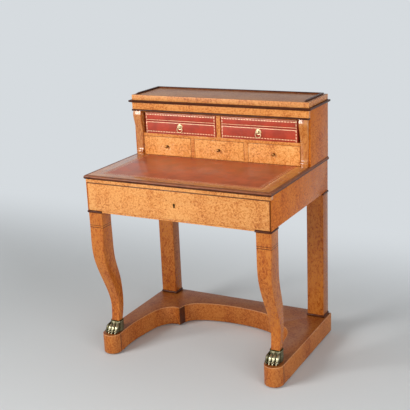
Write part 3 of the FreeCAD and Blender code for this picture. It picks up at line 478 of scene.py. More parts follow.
def make_moulding_wood(name):
    """Dark stained hardwood: streaks along the length, and a painted highlight where the piece's wear value
    is high.
    """
    colours = settings_of("finish")
    finish = Finish(name, coat_weight=0.12, coat_roughness=0.2, coat_ior=1.5, specular_ior_level=0.12)
    place = finish.place()
    streaks = finish.noise(finish.stretched(place, 0.25, 0.25, 1), scale=160, detail=3, rough=0.6)
    pores = finish.noise(finish.stretched(place, 0.3, 0.3, 1), scale=620, detail=1)
    share = (0.3 + streaks.swing(1.6) + pores.swing(0.5)).as_share()
    # painted highlight: the nosing's upper half and the gallery's rear strip get the paler crest colour
    rubbed = (finish.wear().fade(0.42, 0.66) * (0.6 + streaks.swing(1.2))).as_share()
    stained = finish.mix(share, colours.moulding, colours.moulding_streak)
    return finish.done(finish.mix(rubbed * 0.8, stained, colours.moulding_sheen),
                       roughness=0.4 + streaks.swing(0.3), relief=streaks, reach=0.00012)


def make_plain_wood(name, colour, grain):
    """Unpolished secondary wood with long grain and pores."""
    finish = Finish(name, specular_ior_level=0.1)
    long_grain = finish.stretched(finish.warped(finish.place(), scale=5, reach=0.03), *grain)
    rings = finish.noise(long_grain, scale=80, detail=4, rough=0.65)
    pores = finish.noise(long_grain, scale=420)
    shade = (0.5 + rings.swing(2.2) + pores.swing(0.8)).as_share()
    return finish.done(finish.mix(shade, shaded(colour, 0.5), shaded(colour, 1.25)),
                       roughness=0.58 + rings.swing(0.2), relief=rings * 0.6 + pores * 0.4, reach=0.0003)


def leather_ground(finish, colour, rubbed, pebble_scale):
    """Leather: fine pebble grain, mottled dye and rubbed patches. Returns colour, grain and mottle."""
    place = finish.place()
    pebbles = finish.cells(finish.warped(place, scale=300, reach=0.001), pebble_scale)
    mottle = finish.noise(place, scale=18, detail=4, rough=0.6)
    rubs = finish.noise(place, scale=7, detail=3, rough=0.7).fade(0.55, 0.8)
    dyed = finish.mix(mottle.fade(0.3, 0.7), shaded(colour, 0.8), shaded(colour, 1.16))
    return finish.mix(rubs * 0.5, dyed, rubbed), pebbles, mottle


def make_box_leather(name, hand):
    """Red leather of one box front, with gilt lines and a gilt toothed border on lid and flap."""
    colours = settings_of("finish")
    finish = Finish(name, coat_weight=0.2, coat_roughness=0.25, specular_ior_level=0.35)
    colour, pebbles, mottle = leather_ground(finish, colours.box_leather, rubbed=tint(196, 92, 66),
                                             pebble_scale=900)
    across, deep, up = finish.spot()
    flap_low, flap_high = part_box(f"{hand}_carton_flap")
    lid_low, lid_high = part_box(f"{hand}_carton_lid")
    from_side = across.within(flap_low.x, flap_high.x)
    inside = from_side.fade(0.003, 0.004)
    pitch, tooth, tooth_height, soft = 0.012, 0.0043, 0.0017, 0.0003
    side_margin, top_margin, foot_margin, seam_margin = 0.0052, 0.0078, 0.0054, 0.0042
    teeth_across, teeth_up = (abs(run.remainder(pitch) - pitch / 2).fade(tooth + soft, tooth - soft)
                              for run in (across, up))
    gilt = from_side.line(side_margin, tooth_height) * teeth_up
    for edge, margin in ((lid_high.z - up, top_margin), (up - flap_low.z, foot_margin)):
        gilt = gilt.at_least(edge.line(margin, tooth_height) * teeth_across * inside)
    gilt = gilt.at_least((lid_high.z - up).line(0.0022, half_width=0.0006) * 0.8)
    for height in (lid_low.z + seam_margin, flap_high.z - seam_margin):
        gilt = gilt.at_least(up.line(height, half_width=0.0010) * inside)
    gilt = gilt * deep.fade(flap_low.y + 0.0022, flap_low.y + 0.0012)
    gilt = gilt * finish.noise(finish.place(), scale=240).fade(0.28, 0.42)
    return finish.done(finish.mix(gilt, colour, colours.gilt), metallic=gilt * 0.35,
                       roughness=0.42 + mottle.swing(0.15) - 0.14 * gilt,
                       relief=pebbles * 0.6 - gilt * 1.2, reach=0.00022)


def make_top_leather(name):
    """Brown-red leather of the writing surface with a tooled gilt border."""
    colours = settings_of("finish")
    finish = Finish(name, coat_weight=0.3, coat_roughness=0.18, specular_ior_level=0.22)
    colour, pebbles, mottle = leather_ground(finish, colours.top_leather, rubbed=tint(196, 112, 70),
                                             pebble_scale=700)
    across, deep, _ = finish.spot()
    low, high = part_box("writing_leather")
    from_edge = across.within(low.x, high.x).at_most(deep.within(low.y, high.y))
    outer_line, bead_row, inner_line = 0.0045, 0.0085, 0.0125
    gilt = from_edge.line(outer_line, half_width=0.0007)
    gilt = gilt.at_least(from_edge.line(inner_line, half_width=0.0004))
    beads = finish.cells(finish.place(), scale=260).fade(0.42, 0.28)
    gilt = gilt.at_least(from_edge.line(bead_row, half_width=0.0022, soft=0.0004) * beads * 0.75)
    gilt = gilt * finish.noise(finish.place(), scale=150).fade(0.3, 0.5)
    return finish.done(finish.mix(gilt, colour, colours.gilt), metallic=gilt * 0.4,
                       roughness=0.44 + mottle.swing(0.25) - 0.1 * gilt,
                       relief=pebbles * 0.5 - gilt, reach=0.0001)


def make_bronze(name, dark, bright, roughness):
    """Cast metal: patina in the hollows and rubbed crests, from the piece's own wear values."""
    finish = Finish(name, metallic=1.0)
    blotch = finish.noise(finish.place(), scale=260, detail=4, rough=0.65)
    share = (finish.wear() * 1.4 - 0.15 + blotch.swing(0.7)).as_share()
    return finish.done(finish.mix(share, dark, bright), relief=blotch, reach=0.0002,
                       roughness=roughness + 0.3 * (1 - share) + 0.1 * blotch)


def make_steel(name, colour):
    """Filed steel of the lock."""
    finish = Finish(name, metallic=1.0)
    marks = finish.noise(finish.stretched(finish.place(), 1, 1, 0.05), scale=900)
    return finish.done(finish.mix(marks, shaded(colour, 0.7), shaded(colour, 1)),
                       roughness=0.3 + 0.25 * marks, relief=marks, reach=0.0001)


def veneer_table():
    """Settings of each veneer, with the lines and painted shade that it shows."""
    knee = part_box("front_leg_right")[1].z - LEG_BLOCK_HEIGHT
    plinth_low, plinth_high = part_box("plinth")
    plinth_top = plinth_high.z
    drawer_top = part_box("main_drawer_front")[1].z
    joint_half = 0.0015
    upright = (1.15, 1.15, 0.6)
    # brightness and redness are each part's own tone, and also painted shade: parts that get less light are
    # set darker and redder, the sides most of all
    return {
        "veneer_front": dict(brightness=0.88, redness=0.06, coat=0.4, contrast=1.15, lines=[
            # painted shade: the front darkens towards the right
            level_line(drawer_top - joint_half, joint_half, soft=0.0004, strength=0.9), painted_shade_right(0.09)]),
        "veneer_small_fronts": dict(brightness=1.06, redness=0.0, coat=0.3, contrast=1.2, lines=[
            front_joint(f"{hand}_drawer_front", width=0.0014, strength=0.38)
            for hand in ("left", "middle", "right")]),
        "veneer_case": dict(brightness=0.88, redness=0.13, coat=0.3, grain=(1, 1, 1.2)),
        "veneer_top_block": dict(brightness=0.84, redness=0.12, coat=0.9, satin=0.35, lines=[
            # painted shade on the top face
            painted_shade_above(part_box("top_block")[1].z, strength=0.4)]),
        # the sides are a darker, redder copy of the veneer: painted shade for faces that turn away from the
        # key lamp
        "veneer_side": dict(brightness=0.74, redness=0.39, coat=0.0, grain=(1, 0.9, 1.1), contrast=1.25,
                            # dark front edge with painted shade, stronger on the right
                            lines=[dark_edge_and_shade(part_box("apron_side_right")[0].y)]),
        "veneer_console": dict(brightness=0.66, redness=0.2, coat=0.8, grain=(1.1, 1.1, 0.5), satin=0.05),
        "veneer_leg": dict(brightness=0.6, redness=0.32, coat=0.25, grain=upright, contrast=1.4, lines=[
            level_line(knee + 0.001, half_width=0.0011), level_line(knee + 0.009, half_width=0.0009)]),
        "veneer_post": dict(brightness=0.49, redness=0.32, coat=0.25, grain=upright, contrast=1.45),
        "veneer_plinth": dict(brightness=0.57, redness=0.31, coat=0.4, contrast=1.35, satin=0.3, lines=[
            # painted shade on the plinth's top, which sits under the desk
            painted_shade_above(plinth_top, strength=0.42), nose_joint(plinth_low, plinth_high),
            # painted shade at each arch foot
            arch_painted_shade(plinth_low, plinth_high)],
            # pale line on the plinth's top edge: a worn edge and a painted highlight
            pale=[level_line(plinth_top - 0.0018, half_width=0.0013, soft=0.0005, strength=0.3)]),
        "veneer_border": dict(brightness=0.7, redness=0.16, coat=0.6, grain=(0.8, 1.1, 1)),
    }


def finish_table():
    """The maker and the settings of each finish that isn't a veneer."""
    colours = settings_of("finish")
    return {
        "dark_moulding_wood": (make_moulding_wood, {}),
        "bare_carcass_wood": (make_plain_wood, dict(colour=colours.carcass, grain=(0.12, 1, 1))),
        "lining_wood": (make_plain_wood, dict(colour=colours.lining, grain=(1, 0.12, 1))),
        "writing_leather_dyed": (make_top_leather, {}),
        "left_box_leather": (make_box_leather, dict(hand="left")),
        "right_box_leather": (make_box_leather, dict(hand="right")),
        "paw_bronze": (make_bronze, dict(dark=colours.bronze_dark, bright=colours.bronze_bright,
                                         roughness=0.22)),
        "pull_brass": (make_bronze, dict(dark=tint(96, 74, 40), bright=colours.brass, roughness=0.3)),
        "knob_bronze": (make_bronze, dict(dark=tint(40, 24, 10), bright=tint(150, 104, 56), roughness=0.22)),
        "filed_steel": (make_steel, dict(colour=colours.steel)),
    }


def finish_called(name):
    """The desk's materials, each made when it is first asked for."""
    made = bpy.data.materials.get(name)
    if made is None:
        veneers = {veneer: (make_veneer, settings) for veneer, settings in veneer_table().items()}
        maker, settings = (veneers | finish_table())[name]
        made = maker(name, **settings)
    return made


def placed(name, data):
    """A new object in the scene."""
    thing = bpy.data.objects.new(name, data)
    bpy.context.scene.collection.objects.link(thing)
    return thing


def stacked(x, y, z):
    """Points from their coordinates, each spread out to the shape of the others."""
    return np.stack(np.broadcast_arrays(x, y, z), axis=-1)


def angles(count):
    """Evenly spaced angles round a full turn."""
    return np.arange(count) * FULL_TURN / count


def skin(rings, lids=(True, True)):
    """Quads between each ring of points and the next: rings[i][j] is point j of ring i."""
    rows, columns = rings.shape[:2]
    index = np.arange(rows * columns).reshape(rows, columns)
    ahead = np.roll(index, -1, axis=1)
    faces = np.stack([index[:-1], ahead[:-1], ahead[1:], index[1:]], axis=-1).reshape(-1, 4).tolist()
    faces += [index[row].tolist() for lid, row in zip(lids, (0, -1)) if lid]
    return rings.reshape(-1, 3), faces


def eased_ring(low_x, high_x, low_y, high_y, ease, steps):
    """A rectangle with round corners: corner centre plus ease * (cos t, sin t), t once round
    in four quarter turns that each hold both of their ends.

    The bounds and ease may be arrays of one value per ring. Returns x and y, rings by points.
    """
    quarter = np.arange(4)[:, None]
    turn = (np.linspace(0, QUARTER_TURN, steps + 1) + QUARTER_TURN * quarter).ravel()
    right = np.repeat((quarter == 0) | (quarter == 3), steps + 1)
    rear = np.repeat(quarter < 2, steps + 1)
    low_x, high_x, low_y, high_y, ease = (np.asarray(bound, float)[..., None] for bound in
                                          (low_x, high_x, low_y, high_y, ease))
    x = np.where(right, high_x - ease, low_x + ease) + ease * np.cos(turn)
    y = np.where(rear, high_y - ease, low_y + ease) + ease * np.sin(turn)
    return x, y


def eased_board(low, high, ease, steps=None):
    """A board with eased edges, the sum of a smaller box and a ball of radius ease.

    Over rise r from -90 to 90 degrees, the ring is an eased rectangle that is drawn in by
    ease * (1 - cos r), at the height of the nearer face less ease * (1 - |sin r|).
    """
    steps = steps or settings_of("shape").arc_steps
    low, high = np.array(low, float), np.array(high, float)
    ease = min(ease, 0.49 * (high - low).min())
    quarter = np.linspace(0, QUARTER_TURN, steps + 1)
    rise = np.concatenate([-quarter[::-1], quarter])
    inset = ease * (1 - np.cos(rise))
    x, y = eased_ring(low[0] + inset, high[0] - inset, low[1] + inset, high[1] - inset, ease - inset, steps)
    upper = np.arange(len(rise)) > steps
    z = np.where(upper, high[2] - ease, low[2] + ease) + ease * np.sin(rise)
    return skin(stacked(x, y, z[:, None]))


def three_sides(low, high, width):
    """Corners of a moulding's inner line: from the rear left to the front and back again."""
    left, right, front = low.x + width, high.x - width, low.y + width
    return [(left, high.y), (left, front), (right, front), (right, high.y)]


def mitred(profile, corners):
    """A moulding: profile points (out, up) carried along corners in plan, mitred at each corner.

    The mitre is the sum of both outward normals over one plus their dot product.
    """
    profile, corners = np.asarray(profile, float), np.asarray(corners, float)
    run = np.diff(corners, axis=0)
    run /= np.linalg.norm(run, axis=1, keepdims=True)
    outward = np.stack([run[:, 1], -run[:, 0]], axis=1)
    before, after = np.vstack([outward[:1], outward]), np.vstack([outward, outward[-1:]])
    mitre = (after + before) / (1 + (after * before).sum(axis=1, keepdims=True))
    plan = corners[:, None] + mitre[:, None] * profile[None, :, :1]
    return skin(stacked(plan[..., 0], plan[..., 1], profile[:, 1]))


def turned(profile, centre, along, around=None, flutes=0, flute_depth=0.0):
    """A turned piece: each profile point (radius, reach) is a ring about the line through centre.

    With flutes, the radius is multiplied by 1 + flute_depth * cos(flutes * t).
    """
    turn = angles(around or settings_of("shape").around)
    along, across = np.array(along, float), np.array([1.0, 0.0, 0.0])
    upward = np.cross(along, across)
    radius, reach = np.asarray(profile, float).T[:, :, None]
    radius = radius * (1 + flute_depth * np.cos(flutes * turn))
    return skin(np.array(centre, float) + reach[..., None] * along
                + (radius * np.cos(turn))[..., None] * across + (radius * np.sin(turn))[..., None] * upward)


def smooth_through(stations, values, at):
    """The natural cubic spline through (station, value) pairs, at given places."""
    stations, values, at = (np.asarray(some, float) for some in (stations, values, at))
    step = np.diff(stations)
    slope = np.diff(values) / step
    inner = np.diag(2 * (step[:-1] + step[1:])) + np.diag(step[1:-1], 1) + np.diag(step[1:-1], -1)
    bend = np.zeros(len(values))
    bend[1:-1] = np.linalg.solve(inner, 6 * np.diff(slope))
    span = np.clip(np.searchsorted(stations, at) - 1, 0, len(step) - 1)
    past, left, step = at - stations[span], stations[span + 1] - at, step[span]
    before, after = bend[span], bend[span + 1]
    return ((before * left ** 3 + after * past ** 3) / (6 * step)
            + (values[span] / step - before * step / 6) * left
            + (values[span + 1] / step - after * step / 6) * past)


def limb(path, radii, flatten, around):
    """A skin round a bent path in a plane of constant X: a ring is the path's point plus
    radius * (flatten * cos t) along X plus radius * sin t across the path."""
    run = np.gradient(path, axis=0)
    run /= np.linalg.norm(run, axis=1, keepdims=True)
    over = stacked(0, -run[:, 2], run[:, 1])
    turn, radii = angles(around), radii[:, None]
    return skin(path[:, None] + (radii * flatten * np.cos(turn))[..., None] * np.array([1.0, 0.0, 0.0])
                + (radii * np.sin(turn))[..., None] * over[:, None])


def seated(patch, floor):
    """A patch whose points below the floor are raised to it."""
    points, faces = patch
    return stacked(points[:, 0], points[:, 1], points[:, 2].clip(floor)), faces


def merged(mesh):
    """A work copy of a mesh, whose doubled points are made one."""
    work = bmesh.new()
    work.from_mesh(mesh)
    bmesh.ops.remove_doubles(work, verts=work.verts, dist=MERGE_REACH)
    return work


def add_piece(name, patches, finish, node, wear=None, sharp=SHARP_ANGLE):
    """One object from patches of (points, faces), closed, turned outwards and shaded by angle.

    wear is one value a point, 0 in hollows and 1 on crests: wear on metal, a painted highlight on mouldings.
    """
    starts = np.cumsum([0] + [len(points) for points, _ in patches])
    points = np.vstack([points for points, _ in patches])
    faces = [[start + corner for corner in face] for start, (_, some) in zip(starts, patches)
             for face in some]
    mesh = bpy.data.meshes.new(name)
    mesh.from_pydata(points.tolist(), [], faces)
    if wear is not None:
        worn = mesh.attributes.new("wear", "FLOAT", "POINT")
        worn.data.foreach_set("value", np.asarray(wear, np.float32).ravel())
    work = merged(mesh)
    bmesh.ops.recalc_face_normals(work, faces=work.faces)
    finish_piece(name, work, mesh, finish, node, sharp)


def eased_node(node, finish, ease=None, share=1):
    """A copy of a CAD board with its edges eased: merged, its flats made whole, then bevelled."""
    mesh = frame["nodes"][node].data.copy()
    mesh.name = node + "_eased"
    mesh.materials.clear()
    work = merged(mesh)
    flat, fold = math.radians(1), 0.5
    bmesh.ops.dissolve_limit(work, angle_limit=flat, verts=work.verts, edges=work.edges)
    edges = [edge for edge in work.edges if len(edge.link_faces) == 2 and edge.calc_face_angle() > fold]
    bmesh.ops.bevel(work, geom=edges, offset=(ease or settings_of("shape").ease) * share, segments=2,
                    profile=0.5, affect="EDGES", clamp_overlap=True)
    finish_piece(node + "_eased", work, mesh, finish, node)


def finish_piece(name, work, mesh, finish, node, sharp=SHARP_ANGLE):
    """Shade the worked mesh, give it its material and its own sheet shift, and let it ride on
    the body of the CAD node that it stands for."""
    work.to_mesh(mesh)
    work.free()
    seed = np.random.default_rng(sum(ord(letter) * (place + 1) for place, letter in enumerate(name)))
    shift = mesh.attributes.new("sheet_shift", "FLOAT_VECTOR", "POINT")
    shifts = np.tile(seed.uniform(-SHEET_REACH, SHEET_REACH, 3), len(mesh.vertices))
    shift.data.foreach_set("vector", shifts.astype(np.float32))
    mesh.shade_smooth()
    mesh.set_sharp_from_angle(angle=math.radians(sharp))
    mesh.materials.append(finish_called(finish))
    piece = placed(name, mesh)
    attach(piece, BODY_OF[node])
    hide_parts(node)


def board_piece(node, finish, ease=None, share=1):
    """A board in its node's box, with edges eased by a share of the common ease or of its own."""
    board = eased_board(*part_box(node), (ease or settings_of("shape").ease) * share)
    add_piece(node + "_board", [board], finish, node)


def dress_node(node, finish):
    """Give a CAD node that stays as it is its material."""
    held = frame["nodes"][node].data.materials
    held.clear()
    held.append(finish_called(finish))


class DeskOperator(bpy.types.Operator):
    """Base of the desk's operators."""

    bl_options = {"REGISTER", "UNDO"}

    def execute(self, context):
        self.make()
        return {"FINISHED"}


class DESK_OT_plinth(DeskOperator):
    """Make the U-shaped plinth and its glides"""

    bl_idname = "desk.plinth"
    bl_label = "Plinth"

    def make(self):
        low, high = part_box("plinth")
        ease = settings_of("shape").plinth_ease
        outline = self.outline(low, high, steps=25)
        rise = np.linspace(0, QUARTER_TURN, 4)
        insets = np.concatenate([ease * (1 - np.sin(rise)), ease * (1 - np.cos(rise))])
        levels = np.concatenate([low.z + ease * (1 - np.cos(rise)), high.z - ease + ease * np.sin(rise)])
        rings = [stacked(*self.drawn_in(outline, inset).T, level) for inset, level in zip(insets, levels)]
        add_piece("plinth_veneered", [skin(np.array(rings))], "veneer_plinth", "plinth", sharp=40)
        low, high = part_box("plinth_glides")
        profile = [(GLIDE_RADIUS * out, high.z * up) for out, up in GLIDE]
        glides = [turned(profile, (x, y, 0), UPWARD) for x in (low.x + GLIDE_RADIUS, high.x - GLIDE_RADIUS)
                  for y in (low.y + GLIDE_RADIUS, high.y - GLIDE_RADIUS)]
        add_piece("turned_glides", glides, "dark_moulding_wood", "plinth_glides")

    def outline(self, low, high, steps):
        """The plinth's plan: straight sides and back, half-round noses, splined arms and arch."""
        outer, front, rear, depth = high.x, low.y, high.y, high.y - low.y
        half_turn = np.linspace(0, math.pi, steps)
        nose = np.column_stack([outer - NOSE_RADIUS + NOSE_RADIUS * np.cos(half_turn),
                                front + NOSE_RADIUS - NOSE_RADIUS * np.sin(half_turn)])
        arm = [tuple(nose[-1])] + [(outer * x, front + depth * y) for x, y in ARM_INNER]
        arch = [(outer * x, front + depth * y) for x, y in ARCH]
        whole_arch = arch + [(0, front + depth * ARCH_CROWN)] + [(-x, y) for x, y in reversed(arch)]
        right = np.vstack([[(outer, rear)], nose, self.curve(arm, steps * 3)[1:]])
        return np.vstack([right, self.curve(whole_arch, steps * 5), right[::-1] * (-1, 1)])

    def curve(self, spots, count):
        """A spline through the spots, by the length of the straight runs between them."""
        spots = np.array(spots)
        run = np.concatenate([[0], np.cumsum(np.linalg.norm(np.diff(spots, axis=0), axis=1))])
        at = np.linspace(0, run[-1], count)
        return np.column_stack([smooth_through(run, values, at) for values in spots.T])

    def drawn_in(self, outline, inset):
        """The outline, which runs clockwise, moved inwards along its point normals by inset."""
        ahead = np.roll(outline, -1, axis=0) - outline
        ahead /= np.linalg.norm(ahead, axis=1, keepdims=True)
        behind, blunt = np.roll(ahead, 1, axis=0), 0.2
        normal = np.column_stack([ahead[:, 1] + behind[:, 1], -(ahead[:, 0] + behind[:, 0])])
        normal /= (1 + (ahead * behind).sum(axis=1, keepdims=True)).clip(blunt)
        return outline + normal * inset


class DESK_OT_posts(DeskOperator):
    """Make the square rear posts"""

    bl_idname = "desk.posts"
    bl_label = "Rear posts"

    def make(self):
        for hand in HANDS:
            board_piece("rear_post_" + hand, "veneer_post", share=1.4)


class DESK_OT_leg_mouldings(DeskOperator):
    """Make the dark base and cap mouldings of posts and legs"""

    bl_idname = "desk.leg_mouldings"
    bl_label = "Leg mouldings"

    def make(self):
        leg_low, leg_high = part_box("front_leg_right")
        post_low, post_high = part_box("rear_post_right")
        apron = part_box("apron_side_right")[0].z
        block_high = Vector((leg_high.x, leg_low.y + LEG_BLOCK_DEPTH, leg_high.z))
        patches, roundness = [], 0.4
        for low, high, foot, head, spread in (
                (post_low, post_high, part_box("plinth")[1].z, post_low.z, BASE_MARGIN),
                (post_low, post_high, post_high.z, apron, CAP_MARGIN),
                (leg_low, block_high, leg_high.z, apron, CAP_MARGIN)):
            for sign in HANDS.values():
                left, right = sorted((sign * (low.x - spread), sign * (high.x + spread)))
                patches.append(eased_board((left, low.y - spread, foot), (right, high.y + spread, head),
                                           ease=(head - foot) * roundness, steps=4))
        add_piece("cap_and_base_mouldings", patches, "dark_moulding_wood", "leg_mouldings")


class DESK_OT_front_legs(DeskOperator):
    """Make the two scrolled front legs"""

    bl_idname = "desk.front_legs"
    bl_label = "Front legs"

    def make(self):
        low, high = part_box("front_leg_right")
        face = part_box("apron_top_rail")[0].y + FRONT_GAP
        heel = face + LEG_BLOCK_DEPTH
        knee = high.z - LEG_BLOCK_HEIGHT
        middle = (low.x + high.x) / 2
        rise = np.linspace(0, 1, 60)
        front = face + KNEE_DEPTH * smooth_through(*LEG_FRONT, rise)
        back = heel + (high.y - heel) * smooth_through(*LEG_BACK, rise)
        half = LEG_HALF_FOOT + (LEG_HALF_KNEE - LEG_HALF_FOOT) * rise
        levels = np.append(low.z + (knee - low.z) * rise, high.z)
        front, back, half = np.append(front, face), np.append(back, heel), np.append(half, half[-1])
        for hand, sign in HANDS.items():
            x, y = eased_ring(sign * middle - half, sign * middle + half, front, back,
                              ease=settings_of("shape").leg_ease, steps=4)
            add_piece(f"scrolled_leg_{hand}", [skin(stacked(x, y, levels[:, None]))], "veneer_leg",
                      f"front_leg_{hand}", sharp=50)


class DESK_OT_paws(DeskOperator):
    """Make the bronze lion paws: toes, claws, instep, heel and a scalloped collar"""

    bl_idname = "desk.paws"
    bl_label = "Lion paws"

    def make(self):
        for hand in HANDS:
            low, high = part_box("paw_" + hand)
            patches, wear = zip(*self.toes(low, high), *self.instep(low, high))
            add_piece(f"lion_paw_{hand}", patches, "paw_bronze", "paw_" + hand,
                      wear=np.concatenate([some.ravel() for some in wear]), sharp=60)

    def toes(self, low, high):
        """Four limbs bent over their knuckles, rubbed on top, each with a claw in front."""
        wide, deep, tall = high - low
        spread, girth, full_girth, tip, around = 0.98, 0.93, 0.17, 0.001, 16
        claw_reach, claw_top, claw_drop, claw_bend = 0.075, 0.17, 0.15, 1.6
        claw_girth, claw_tip, claw_wear = 0.062, 0.02, 0.7
        along, down = np.linspace(0, 1, 26), np.linspace(0, 1, 9)
        crest = 0.5 + 0.5 * np.sin(angles(around))
        # patina is how rubbed each toe is; for the leftmost toe its low value is painted shade
        for place, lag, patina in TOES:
            x = (low.x + high.x) / 2 + place * wide * spread
            front = low.y + lag * deep
            y = front + smooth_through(*TOE_REACH, along) * deep
            z = low.z + smooth_through(*TOE_RISE, along) * tall
            radii = smooth_through(*TOE_GIRTH, along) * wide * girth
            radii[[0, -1]] = tip
            bulge = (radii / (full_girth * wide)).clip(0, 1)
            yield (seated(limb(stacked(x, y, z), radii, flatten=0.76, around=around), low.z),
                   patina * (crest ** 2 * bulge[:, None] ** 2))
            y = front + claw_reach * (1 - down) * deep
            z = low.z + (claw_top - claw_drop * down ** claw_bend) * tall
            radii = claw_girth * wide * np.sqrt(np.linspace(1, claw_tip, 9))
            claw = limb(stacked(x, y, z), radii, flatten=0.7, around=10)
            yield seated(claw, low.z), np.full(len(claw[0]), claw_wear * patina)

    def instep(self, low, high):
        """A stack of fluted ellipses that turn square towards the top, under a scalloped collar."""
        wide, deep, tall = high - low
        middle = (low.x + high.x) / 2
        turn = angles(72)
        squared = (np.abs(np.cos(turn)) ** 3 + np.abs(np.sin(turn)) ** 3) ** (-1 / 3)
        rise = np.linspace(0, 1, 22)
        reach_x, reach_y = (size * smooth_through(*curve, rise)[:, None]
                            for size, curve in ((wide, INSTEP_WIDTH), (deep, INSTEP_DEPTH)))
        centre = low.y + deep * smooth_through(*INSTEP_CENTRE, rise)[:, None]
        rise = rise[:, None]
        flutes, flute_depth, top = 7.2, 0.05, 0.97
        forward = (-np.sin(turn)).clip(0) ** 0.7
        flute = 1 + flute_depth * forward * np.cos(flutes * (turn + QUARTER_TURN)) * (1 - rise ** 3)
        out = flute * (1 + (squared - 1) * rise ** 0.8)
        yield (skin(stacked(middle + reach_x * out * np.cos(turn), centre + reach_y * out * np.sin(turn),
                            low.z + rise * tall * top)),
               (0.25 + 0.45 * (flute - 1) / flute_depth * (0.3 + 0.7 * rise)).clip(0, 1))
        rise = np.linspace(0, 1, 12)[:, None]
        scallops, relief, collar_foot = 16, 0.05, 0.84
        swell = np.sin(rise * math.pi) ** 0.7
        scallop = 0.5 + 0.5 * np.cos(scallops * turn)
        out = squared * (1 + relief * swell + relief * scallop * (1 - rise))
        z = low.z + tall * (collar_foot + (1 - collar_foot) * rise - relief * scallop * (1 - rise))
        yield (skin(stacked(middle + reach_x[-1] * out * np.cos(turn),
                            centre[-1] + reach_y[-1] * out * np.sin(turn), z)),
               swell ** 2 * (0.12 + 0.42 * scallop))


class DESK_OT_apron(DeskOperator):
    """Make the apron: sides, back, the rail over the drawer and the frame below"""

    bl_idname = "desk.apron"
    bl_label = "Apron"

    def make(self):
        for hand in HANDS:
            eased_node("apron_side_" + hand, "veneer_side")
        eased_node("apron_top_rail", "veneer_front", share=0.6)
        board_piece("apron_back_board", "bare_carcass_wood")
        dress_node("drawer_kickers", "bare_carcass_wood")
        self.drawer_frame(settings_of("shape").ease)

    def drawer_frame(self, ease):
        """Two rails and two runners under the drawer, and the thin lip that shows below it."""
        low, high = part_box("apron_bottom_frame")
        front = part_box("main_drawer_front")[1].y + FRONT_GAP
        lip_back = front + FRAME_RAIL
        lip_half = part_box("front_leg_right")[0].x - CAP_MARGIN
        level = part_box("apron_side_right")[0].z
        inner = high.y - FRAME_RAIL
        patches = [eased_board((*near, level), (*far, high.z), ease) for near, far in (
            ((low.x, front), (high.x, lip_back)),
            ((low.x, inner), (high.x, high.y)),
            ((low.x, lip_back), (low.x + FRAME_RUNNER, inner)),
            ((high.x - FRAME_RUNNER, lip_back), (high.x, inner)))]
        add_piece("drawer_frame_boards", patches, "bare_carcass_wood", "apron_bottom_frame")
        lip = eased_board((-lip_half, low.y, low.z), (lip_half, lip_back, level), ease)
        add_piece("drawer_lip", [lip], "veneer_front", "apron_bottom_frame")


class DESK_OT_main_drawer(DeskOperator):
    """Make the wide drawer with its lock and keyhole"""

    bl_idname = "desk.main_drawer"
    bl_label = "Wide drawer"

    def make(self):
        eased_node("main_drawer_front", "veneer_front")
        for node in ("main_drawer_sides", "main_drawer_back", "main_drawer_bottom"):
            dress_node(node, "lining_wood")
        dress_node("keyhole_lining", "pull_brass")
        for node in ("main_drawer_lock", "lock_bolt"):
            dress_node(node, "filed_steel")


class DESK_OT_writing_board(DeskOperator):
    """Make the writing board, its nosing and the leather"""

    bl_idname = "desk.writing_board"
    bl_label = "Writing board"

    def make(self):
        eased_node("writing_board", "veneer_border", share=0.4)
        board_piece("writing_leather", "writing_leather_dyed", LEATHER_SHEET_EASE)
        self.nosing()

    def nosing(self):
        """A half ellipse whose last points are level with its top, mitred round three sides."""
        low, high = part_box("board_nosing")
        half, level_points = (high.z - low.z) / 2, 3
        turn = np.linspace(-QUARTER_TURN, QUARTER_TURN, 15)
        nose = np.column_stack([NOSING_FLAT + (NOSING_WIDTH - NOSING_FLAT) * np.cos(turn),
                                low.z + half + half * np.sin(turn)])
        nose[-level_points:, 1] = high.z
        profile = np.vstack([[(0, low.z)], nose, [(0, high.z)]])
        nosing = mitred(profile, three_sides(low, high, NOSING_WIDTH))
        # painted highlight: the wear value rises with height, so the nosing's upper half is drawn paler
        wear = (nosing[0][:, 2] - low.z) / (high.z - low.z)
        add_piece("nosing_mitred", [nosing], "dark_moulding_wood", "board_nosing", wear=wear)


class DESK_OT_case(DeskOperator):
    """Make the upper case: sides, stiles, shelf, dividers and boards"""

    bl_idname = "desk.case"
    bl_label = "Upper case"

    def make(self):
        for hand in HANDS:
            board_piece("case_side_" + hand, "veneer_side")
        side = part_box("case_side_right")[0].x
        self.boards("front_stiles", "veneer_border", "case_stiles",
                    [(STILE_INNER, side), (-side, -STILE_INNER)])
        board_piece("case_back_board", "bare_carcass_wood")
        for node in ("case_shelf_board", "carton_divider_board", "case_top_board"):
            board_piece(node, "veneer_case")
        low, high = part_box("small_drawer_dividers")
        self.boards("drawer_dividers", "veneer_case", "small_drawer_dividers",
                    [(low.x, low.x + SMALL_DIVIDER), (high.x - SMALL_DIVIDER, high.x)])

    def boards(self, name, finish, node, spans):
        """Upright boards as deep and as tall as the node, between each pair of left and right."""
        low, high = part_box(node)
        ease = settings_of("shape").ease
        add_piece(name, [eased_board((left, low.y, low.z), (right, high.y, high.z), ease)
                         for left, right in spans], finish, node)


